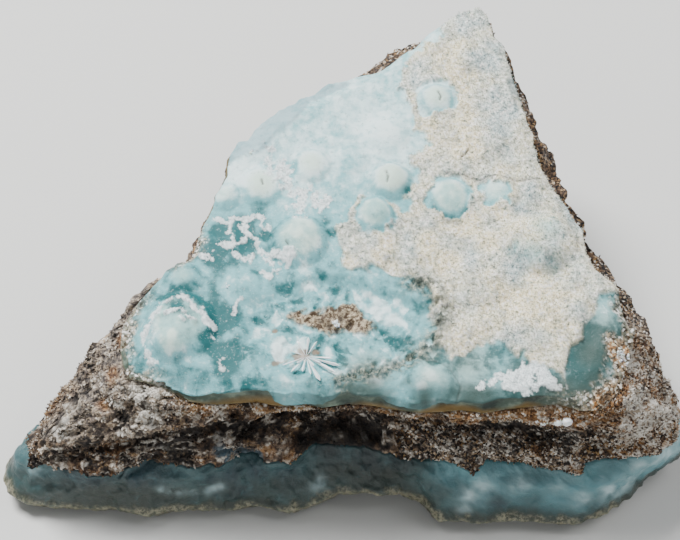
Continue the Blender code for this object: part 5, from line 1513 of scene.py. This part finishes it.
def matrix_finish():
    """Gives each grain a colour from the range that the stored values choose, under painted shade."""
    material, tree, shader = new_finish("brown limonite")
    cloudy = grain(tree, 1.3, 6.0, 0.72, 0.4)
    smeared = sums(tree, "MULTIPLY_ADD", sums(tree, "SUBTRACT", cloudy, 0.5), 2.2, 0.2)
    smeared = sums(tree, "MULTIPLY_ADD", grain_pick(tree, 0.40, 2.0), 0.34, smeared)
    # Painted light: the stored 'raised' lightens the grains on knobs and on the brow.
    smeared = sums(tree, "MULTIPLY_ADD", stored(tree, "raised"), 0.30, smeared)
    pick = mixed(tree, stored(tree, "sandy"), smeared, grain_pick(tree, 0.31, 1.6))
    pick = sums(tree, "ADD", pick, stored(tree, "lift"))
    brown = ramp(tree, pick, [(0.15, BLACK_GRAIN_AND_SHADE), (0.42, EARTH), (0.64, CLAY), (0.82, GOLD), (0.93, CHALK)])
    grey = ramp(tree, pick, [(0.16, SMOKE), (0.44, ASH), (0.70, SAND_GREY), (0.95, CHALK)])
    rusty = ramp(tree, pick, [(0.12, EARTH), (0.38, EMBER), (0.64, OCHRE), (0.92, SAND)])
    chalky = ramp(tree, pick, [(0.10, ASH), (0.40, SAND_GREY), (0.62, CHALK)])
    ground = layer(tree, stored(tree, "grey"), brown, grey)
    ground = covered(tree, ground, "orange", 0.75, rusty)
    ground = layer(tree, stored(tree, "white"), ground, chalky)
    # The stored 'dark' lays painted shade, in near black, over the grains.
    for mark, strength, over in (("blue", 0.8, STONE_BLUE), ("dark", 0.9, BLACK_GRAIN_AND_SHADE),
                                 ("fleck", 0.75, chalky)):
        ground = covered(tree, ground, mark, strength, over)
    feed(tree, shader.inputs["Base Color"], ground)
    feed(tree, shader.inputs["Roughness"], sums(tree, "MULTIPLY_ADD", pick, -0.25, 0.85))
    height = sums(tree, "MULTIPLY_ADD", pick, 0.25, grain(tree, 0.5, 5.0, 0.75))
    bumped(tree, shader, height, 0.25)
    return material


matrix = build_matrix(matrix_finish())
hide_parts("matrix")


# %% [markdown]
# ## The lower crust
#
# A thick second crust, nearly the colour of deep water. Its broken section is smooth and
# glassy, darker where it is thick, and pale along the outer rim. The wall is again a grid of
# rows between the solids' lines, and the underside is a sheet of round lumps.

# %% The lower crust's underside and its lines
LOWER_WALL_ROWS = (8, 26, 12)
LOWER_STEPS = (0.26, 0.40)
UNDER_SPACING = 0.62
UNDER_MARGIN = 0.5
LEAST_HEIGHT = 0.02


def underside(xy):
    """Gives the height of the underside: round lumps with worn flat tips."""
    lumps = np.zeros(len(xy))
    for x, y, radius in FEET:
        lumps = np.maximum(lumps, cap_height(xy, (x, y), radius, 1.9 * UNDERSIDE_RISE))
    small = 0.45 * UNDERSIDE_RISE * (1.0 + soft_noise(on_plane(xy), LUMP_CELL * 0.6, 91))
    deep = UNDERSIDE_RISE * 1.25 - np.maximum(lumps, np.minimum(small, UNDERSIDE_RISE))
    return np.clip(deep, 0.0, None)


def lower_lines(angles):
    """Reads the lower crust's lines at each column: foot of the matrix, brow, rim, underside."""
    lines = [beside_contact(broken_foot(angles), lower_contact, -1.0)]
    for line in (LOWER_BROW, LOWER_RIM):
        reach, height = reach_of(line, angles)
        lines.append(np.column_stack([at_reach(angles, reach), height]))
    rim, rim_height = reach_of(LOWER_RIM, angles)
    under = at_reach(angles, rim - UNDERSIDE_INSET)
    height = np.minimum(underside(under) * 0.35, rim_height - 0.8)
    height = np.maximum(height, np.clip(rim_height - 2.9, 0.05, None))
    lines.append(np.column_stack([under, height]))
    return lines


# %% Where the lower crust's finishes lie: along X, how bright the teal and how olive the section is
BRIGHT_ALONG = [(-50, 0.22), (-44, 0.28), (-38, 0.05), (-30, 0.0), (-22, 0.10), (-14, 0.12),
                (-4, 0.10), (8, 0.0), (12, 0.30), (15, 0.62), (19, 0.80), (23, 0.62), (30, 0.68), (34, 0.72),
                (38, 0.62), (42, 0.85), (48, 1.0), (52, 1.0)]
OLIVE_ALONG = [(-50, 0.6), (-40, 0.9), (-28, 0.9), (-22, 0.45), (-14, 0.35), (-6, 0.75), (6, 0.95),
               (12, 0.55), (16, 0.25), (24, 0.15), (34, 0.15), (40, 0.0), (52, 0.0)]
LOWER_CLOUDS = [(19.9, -32.0, 7.5, 1.8), (18.5, -32.8, 5.9, 1.6), (17.5, -33.4, 4.2, 1.2),
                (-3.8, -30.3, 5.6, 1.3), (38.5, -31.8, 5.7, 1.8), (40.5, -30.6, 6.2, 1.8),
                (42.8, -29.4, 8.6, 1.8), (45.6, -28.3, 9.7, 2.2), (47.5, -26.5, 8.1, 2.0),
                (31.0, -32.0, 8.8, 1.5), (25.3, -32.3, 7.9, 1.4), (-44.8, -30.0, 8.2, 0.9),
                (34.2, -33.0, 6.0, 1.4)]
LOWER_STREAK = [(-26.4, -31.9, 6.6), (-23.1, -31.7, 5.6), (-20.2, -31.4, 5.0), (-18.0, -31.0, 5.9)]
LOWER_CRACK = [(37.6, -31.2, 8.6), (36.9, -31.5, 7.9), (35.9, -32.4, 6.8), (35.3, -33.2, 5.0)]
# Painted shadow of the matrix's ledge on the lower crust's top: x, y, z, radius
SHADE_PLACES = [(-2.0, -27.8, 10.0, 3.2), (3.5, -28.2, 9.4, 3.4), (8.0, -29.0, 9.0, 2.4)]
DEEP_PLACES = [(-37.0, -31.8, 7.4, 5.0), (-29.0, -31.6, 7.0, 5.0), (-18.7, -30.9, 7.0, 2.4),
               (-16.5, -30.5, 7.8, 2.4), (-15.1, -31.7, 5.5, 2.2),
               (-12.9, -29.9, 8.1, 2.0), (-8.0, -30.0, 7.4, 2.4), (22.6, -33.4, 5.0, 1.6)]
STREAK_WIDTH = 0.7
CRACK_WIDTH = 0.16
print("lower crust:", len(LOWER_CLOUDS), "clouds,", len(DEEP_PLACES), "deep places")


def lower_marks(points, down):
    """Works out where the section is bright, olive, cloudy, deep blue or in painted shadow, from 0 to 1."""
    drift = points[:, 0] + 2.5 * rough_noise(points, 5.0, 211)
    bright = read_table(BRIGHT_ALONG, drift) * smooth(1.0, 0.45, down)
    bright += 0.16 * rough_noise(points * np.array([1.0, 1.0, 1.6]), 3.0, 213, 4)
    olive = read_table(OLIVE_ALONG, drift) * smooth(0.15, 0.55, down)
    olive = np.maximum(olive, smooth(0.62, 0.95, down)) + 0.15 * rough_noise(points, 3.0, 215)
    cloud = near_spots(points, LOWER_CLOUDS)
    cloud = np.maximum(cloud, near_path(points, LOWER_STREAK, STREAK_WIDTH))
    cloud *= 0.65 + 0.6 * rough_noise(points, 1.6, 217, 4)
    cloud += 0.7 * near_path(points, LOWER_CRACK, CRACK_WIDTH)
    deep = near_spots(points, DEEP_PLACES) * (1.0 + 0.4 * rough_noise(points, 2.0, 219))
    edge = down + 0.10 * rough_noise(points, 1.5, 221, 4)
    edge += 0.12 * smooth(-46.0, -49.0, points[:, 0])
    marks = {"bright": bright, "olive": olive, "cloud": cloud, "deep": deep,
             "rim": smooth(0.84, 1.02, edge) * smooth(44.0, 38.0, points[:, 0]),
             "shade": near_spots(points, SHADE_PLACES)}
    return {name: np.clip(values, 0.0, 1.0) for name, values in marks.items()}


# %% Building the lower crust
def broken_section(grid, angles):
    """Swells the section along each direction, and then chips it along its own way out.

    Swells fade out below 5.2 mm, so that the lumps underneath keep their shape.
    """
    share = np.clip((grid[:, :, 2] - 2.2) / 3.0, 0.0, 1.0)
    swell = 0.55 * rough_noise(grid.reshape(-1, 3), 5.0, 101).reshape(grid.shape[:2]) * share
    outward = np.column_stack([np.cos(angles), np.sin(angles)])
    moved = grid.copy()
    moved[:, :, :2] += outward[None] * (swell * fading_ends(len(grid), 6.0))[:, :, None]
    flat = moved.reshape(-1, 3)
    chips = 0.30 - 0.55 * np.abs(rough_noise(flat, 3.4, 201, 3))
    chips = chips + 0.10 * rough_noise(flat, 0.9, 203, 3)
    return pushed_out(moved, chips.reshape(grid.shape[:2]) * fading_ends(len(grid), 4.0))


def build_lower_crust(material):
    """Closes the lower crust: a plain top, the broken section and the lumpy underside."""
    angles = wall_directions(LOWER_RIM, *LOWER_STEPS)
    lines = lower_lines(angles)
    grid = broken_section(carried_wall(lines, LOWER_WALL_ROWS), angles)
    top_limit = lower_contact(grid.reshape(-1, 3)[:, :2]) - HALF_GAP
    grid[:, :, 2] = np.clip(grid[:, :, 2], LEAST_HEIGHT, top_limit.reshape(grid.shape[:2]))
    contact_height = lines[0][:, 2]
    rim_height = lines[2][:, 2]
    down = (contact_height - grid[:, :, 2]) / (contact_height - rim_height)
    over = hidden_sheet(angles, distance_out(lines[0][:, :2]), lower_contact, -1.0, 205)
    under_reach = distance_out(grid[-1, :, :2])
    under = lattice_inside(angles, under_reach, UNDER_SPACING, UNDER_MARGIN, 206)
    bumps = 0.12 * rough_noise(on_plane(under), 2.2, 207)
    under = np.column_stack([under, np.maximum(underside(under) + bumps, 0.0)])
    points, triangles = closed_layer(angles, over, grid, under)
    down = np.concatenate([np.clip(down.ravel(), 0.0, 2.0), np.zeros(len(over)),
                           np.full(len(under), 1.6)])
    return new_piece("lower_crust_fine", points, triangles, lower_marks(points, down), material)


# %% [markdown]
# ## The lower crust's finish
#
# The same mineral without the air between its needles is dark, clear and glossy. Colour runs
# from teal through olive to a pale grainy rim, with milky wisps inside and a painted shadow under the
# matrix's recess.

# %% Deep crust finish
LEDGE_SHADOW = colour(0.06, 0.09, 0.10)
DEEP = colour(0.09, 0.19, 0.23)
SEA = colour(0.17, 0.28, 0.28)
LAGOON = colour(0.38, 0.58, 0.61)
OLIVE = colour(0.18, 0.22, 0.19)
RIM = colour(0.62, 0.60, 0.50)
RIM_SHADE = colour(0.27, 0.28, 0.22)
FOG = colour(0.74, 0.84, 0.85)


def lower_finish():
    """Stacks sea green, lagoon blue, olive, clouds, a painted shadow and the grainy rim under a gloss."""
    material, tree, shader = new_finish("deep glassy crust")
    wisps = grain(tree, 1.8, 6.0, 0.68, 0.6)
    ground = layer(tree, stored(tree, "bright"), SEA, LAGOON)
    ground = covered(tree, ground, "deep", 0.8, DEEP)
    ground = layer(tree, stored(tree, "olive"), ground, OLIVE)
    thread = sums(tree, "MULTIPLY", rising(tree, wisps, 0.52, 0.78), 0.22)
    ground = layer(tree, thread, ground, LAGOON)
    specks = ramp(tree, grain(tree, 0.5, 4.0, 0.75), [(0.40, RIM_SHADE), (0.60, RIM)])
    # The stored 'shade' lays the painted shadow of the ledge in near black.
    for mark, strength, over in (("cloud", 0.8, FOG), ("shade", 0.8, LEDGE_SHADOW), ("rim", 0.85, specks)):
        ground = covered(tree, ground, mark, strength, over)
    feed(tree, shader.inputs["Base Color"], ground)
    set_glow(shader, 0.25, (0.6, 1.0, 1.1), 2.0)
    shader.inputs["Roughness"].default_value = 0.33
    bumped(tree, shader, grain(tree, 0.7, 6.0, 0.7), 0.22)
    return material


lower_crust = build_lower_crust(lower_finish())
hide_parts("lower_crust")


# %% [markdown]
# ## Small crystals
#
# The felt on the crust is a mass of tiny blades, and sharp grains stand on the matrix. Each is
# two four-sided pyramids foot to foot, eight faces in all, so that tens of thousands can be
# joined into one mesh. They start on points of the finished surfaces, drawn at random where the
# stored values call for them, and take over the colour of the ground that they stand on.

# %% A mesh of many crystals
CRYSTAL_FACES = np.array([(0, 2, 1), (0, 3, 2), (0, 4, 3), (0, 1, 4),
                          (5, 1, 2), (5, 2, 3), (5, 3, 4), (5, 4, 1)])
ROOT_SHARE = 0.35
CRYSTAL_BELLY = 0.55
BASE_STIR = 0.08


def surface_of(piece):
    """Reads a piece's points in the sketch's units, the way out at each, and its stored values."""
    mesh = piece.data
    spots = np.empty(3 * len(mesh.vertices))
    outward = np.empty(3 * len(mesh.vertices))
    mesh.vertices.foreach_get("co", spots)
    mesh.vertex_normals.foreach_get("vector", outward)
    marks = {}
    for mark in mesh.attributes.keys():
        if mesh.attributes[mark].data_type == "FLOAT":
            marks[mark] = np.empty(len(mesh.vertices))
            mesh.attributes[mark].data.foreach_get("value", marks[mark])
    return spots.reshape(-1, 3) / METRES - MOVE, outward.reshape(-1, 3), marks


def new_crystals(name, starts, ends, width, belly, marks, material, seed):
    """Joins pointed crystals: each runs from a start to an end and is widest at the belly.

    The ring round the belly has four corners, half a width from the axis, at a random turn.
    """
    draw = np.random.default_rng(seed)
    axis = ends - starts
    aside = np.cross(axis, draw.normal(size=axis.shape))
    aside /= np.linalg.norm(aside, axis=1, keepdims=True)
    across = np.cross(axis, aside)
    across /= np.linalg.norm(across, axis=1, keepdims=True)
    half = 0.5 * width[:, None]
    middle = starts + belly * axis
    corners = [starts, middle + half * aside, middle + half * across, middle - half * aside,
               middle - half * across, ends]
    points = np.stack(corners, axis=1).reshape(-1, 3)
    first = len(corners) * np.arange(len(starts))[:, None, None]
    triangles = (CRYSTAL_FACES[None] + first).reshape(-1, 3)
    spread = {mark: np.repeat(values, len(corners)) for mark, values in marks.items()}
    return new_piece(name, points, triangles, spread, material, smooth_faces=False)


# %% Crystals on a piece
def grown_on(piece, name, wanted, count, length, width, lean, seed):
    """Grows crystals on a piece where they are wanted, leaning at random off the way out.

    The root share of each lies under the surface.
    """
    spots, outward, marks = surface_of(piece)
    share = np.clip(wanted(spots, outward, marks), 0.0, None)
    draw = np.random.default_rng(seed)
    chosen = draw.choice(len(spots), count, replace=False, p=share / share.sum())
    axis = outward[chosen] + lean * draw.normal(size=(count, 3))
    axis /= np.linalg.norm(axis, axis=1, keepdims=True)
    long = draw.uniform(*length, size=(count, 1))
    base = spots[chosen] + draw.uniform(-BASE_STIR, BASE_STIR, size=(count, 3))
    wide = draw.uniform(*width, size=count)
    kept = {mark: values[chosen] for mark, values in marks.items()}
    starts = base - ROOT_SHARE * long * axis
    ends = base + (1.0 - ROOT_SHARE) * long * axis
    return new_crystals(name, starts, ends, wide, CRYSTAL_BELLY, kept, piece.data.materials[0], seed)


# %% Felt blades on the crust, grains on the matrix: count, length, width, lean, seed
FELT_GROWTH = (23000, (0.22, 0.55), (0.08, 0.15), 0.75, 301)
GRAIN_GROWTH = (23500, (0.3, 0.8), (0.2, 0.45), 0.9, 302)


def felt_wanted(spots, outward, marks):
    """Wants blades on the felt and the white crumbs, but not on the wall or the underside."""
    return (marks["druse"] + 1.2 * marks["crumb"] + 0.5 * marks["growth"]) * (outward[:, 2] > 0.2)


def grains_wanted(spots, outward, marks):
    """Wants grains on the raised parts of the front and the ends of the matrix."""
    front = smooth(-14.0, -20.0, spots[:, 1]) + 0.01
    return front * (marks["raised"] + 0.5 * marks["sandy"]) ** 2


felt = grown_on(upper_crust, "felt_blades", felt_wanted, *FELT_GROWTH)
grains = grown_on(matrix, "matrix_grains", grains_wanted, *GRAIN_GROWTH)

# %% [markdown]
# ## Needles, beads and single crystals
#
# White needles lie fanned out in the broken pocket, short white crystals stand in the rust at the
# right end and in three smaller places, and a few round white beads hang under the front edge of
# the crust. They are few, so each needle and bead has its own measured place.

# %% The spray of needles: far end x, y, height above the face, width
SPRAY_CENTRE = (-5.3, -22.9)
SPRAY = [(-3.3, -27.7, 0.5, 0.62), (-4.6, -26.8, 0.6, 0.30), (-5.8, -26.1, 0.5, 0.44),
         (-1.2, -26.2, 0.7, 0.52), (-2.0, -25.3, 0.8, 0.28), (-0.6, -24.6, 0.6, 0.48),
         (-1.6, -23.6, 0.8, 0.30), (-7.4, -26.2, 0.5, 0.34), (-8.6, -25.0, 0.5, 0.26),
         (-6.6, -20.8, 0.6, 0.40), (-5.0, -20.3, 0.6, 0.46), (-3.8, -21.0, 0.7, 0.30),
         (-4.2, -25.2, 1.0, 0.36), (-3.2, -24.5, 1.0, 0.26), (-6.6, -24.6, 0.9, 0.28),
         (-7.8, -22.2, 0.5, 0.24)]
NEEDLE_BELLY = 0.85


def face_height(xy):
    """Gives the finished height of the crust's face, relief included."""
    return solid_face(xy) + crust_relief(xy, crust_marks(xy))


def white_needle_finish():
    """Makes clear white needles that shine a little."""
    material, _, shader = new_finish("white needles")
    shader.inputs["Base Color"].default_value = colour(0.93, 0.95, 0.95)
    shader.inputs["Roughness"].default_value = 0.3
    shader.inputs["Subsurface Weight"].default_value = 0.2
    shader.inputs["Subsurface Scale"].default_value = 0.0003
    return material


white_needles = white_needle_finish()
far = np.array(SPRAY)
hub = np.array([SPRAY_CENTRE] * len(far))
starts = np.column_stack([hub, face_height(hub) + 0.05])
ends = np.column_stack([far[:, :2], face_height(far[:, :2]) + far[:, 2]])
spray = new_crystals("spray", starts, ends, far[:, 3], NEEDLE_BELLY, {}, white_needles, 304)

# %% Single white crystals on the crust: x, y, spread
CRYSTAL_PLACES = [(38.6, -22.8, 0.9), (-1.1, -17.9, 0.5), (-13.5, 9.1, 0.3), (-16.6, -12.6, 0.3)]
SINGLE_GROWTH = (70, (0.4, 0.8), (0.2, 0.42), 0.9, 305)


def single_wanted(spots, outward, marks):
    """Wants crystals in a few small places on the face."""
    return near_spots(spots[:, :2], CRYSTAL_PLACES) ** 2 * (outward[:, 2] > 0.1)


single = grown_on(upper_crust, "single_crystals", single_wanted, *SINGLE_GROWTH)
single.data.materials.clear()
single.data.materials.append(white_needles)

# %% Beads under the crust: x, y, z, radius
BEADS = [(26.8, -30.2, 21.5, 0.50), (27.7, -30.4, 21.7, 0.62), (28.8, -30.3, 21.5, 0.56),
         (29.6, -30.5, 21.8, 0.66), (30.8, -30.6, 21.9, 0.74)]
BEAD_ROWS = 14
BEAD_COLUMNS = 22


def new_beads(name, beads, material):
    """Joins round beads: rings of points at even steps from pole to pole, roughened a little by noise."""
    tall = np.linspace(0.0, math.pi, BEAD_ROWS + 2)[1:-1, None]
    turn = np.linspace(0.0, WHOLE_TURN, BEAD_COLUMNS, endpoint=False)[None, :]
    ball = np.stack([np.sin(tall) * np.cos(turn), np.sin(tall) * np.sin(turn),
                     np.cos(tall) + 0.0 * turn], axis=2).reshape(-1, 3)
    ball = np.vstack([ball, [(0.0, 0.0, 1.0), (0.0, 0.0, -1.0)]])
    here = np.arange(BEAD_COLUMNS)
    after = (here + 1) % BEAD_COLUMNS
    faces = [np.column_stack([np.full(BEAD_COLUMNS, len(ball) - 2), here, after])]
    for row in range(BEAD_ROWS - 1):
        upper = row * BEAD_COLUMNS
        lower = upper + BEAD_COLUMNS
        faces.append(np.column_stack([upper + here, lower + here, lower + after]))
        faces.append(np.column_stack([upper + here, lower + after, upper + after]))
    last = (BEAD_ROWS - 1) * BEAD_COLUMNS
    faces.append(np.column_stack([last + here, np.full(BEAD_COLUMNS, len(ball) - 1), last + after]))
    faces = np.vstack(faces)
    points = []
    for number, (x, y, z, radius) in enumerate(beads):
        lumpy = 1.0 + 0.16 * rough_noise(ball, 0.9, 310 + number)
        points.append(np.array([x, y, z]) + radius * ball * lumpy[:, None])
    triangles = np.vstack([faces + number * len(ball) for number in range(len(beads))])
    return new_piece(name, np.vstack(points), triangles, {}, material)


beads = new_beads("beads", BEADS, white_needles)
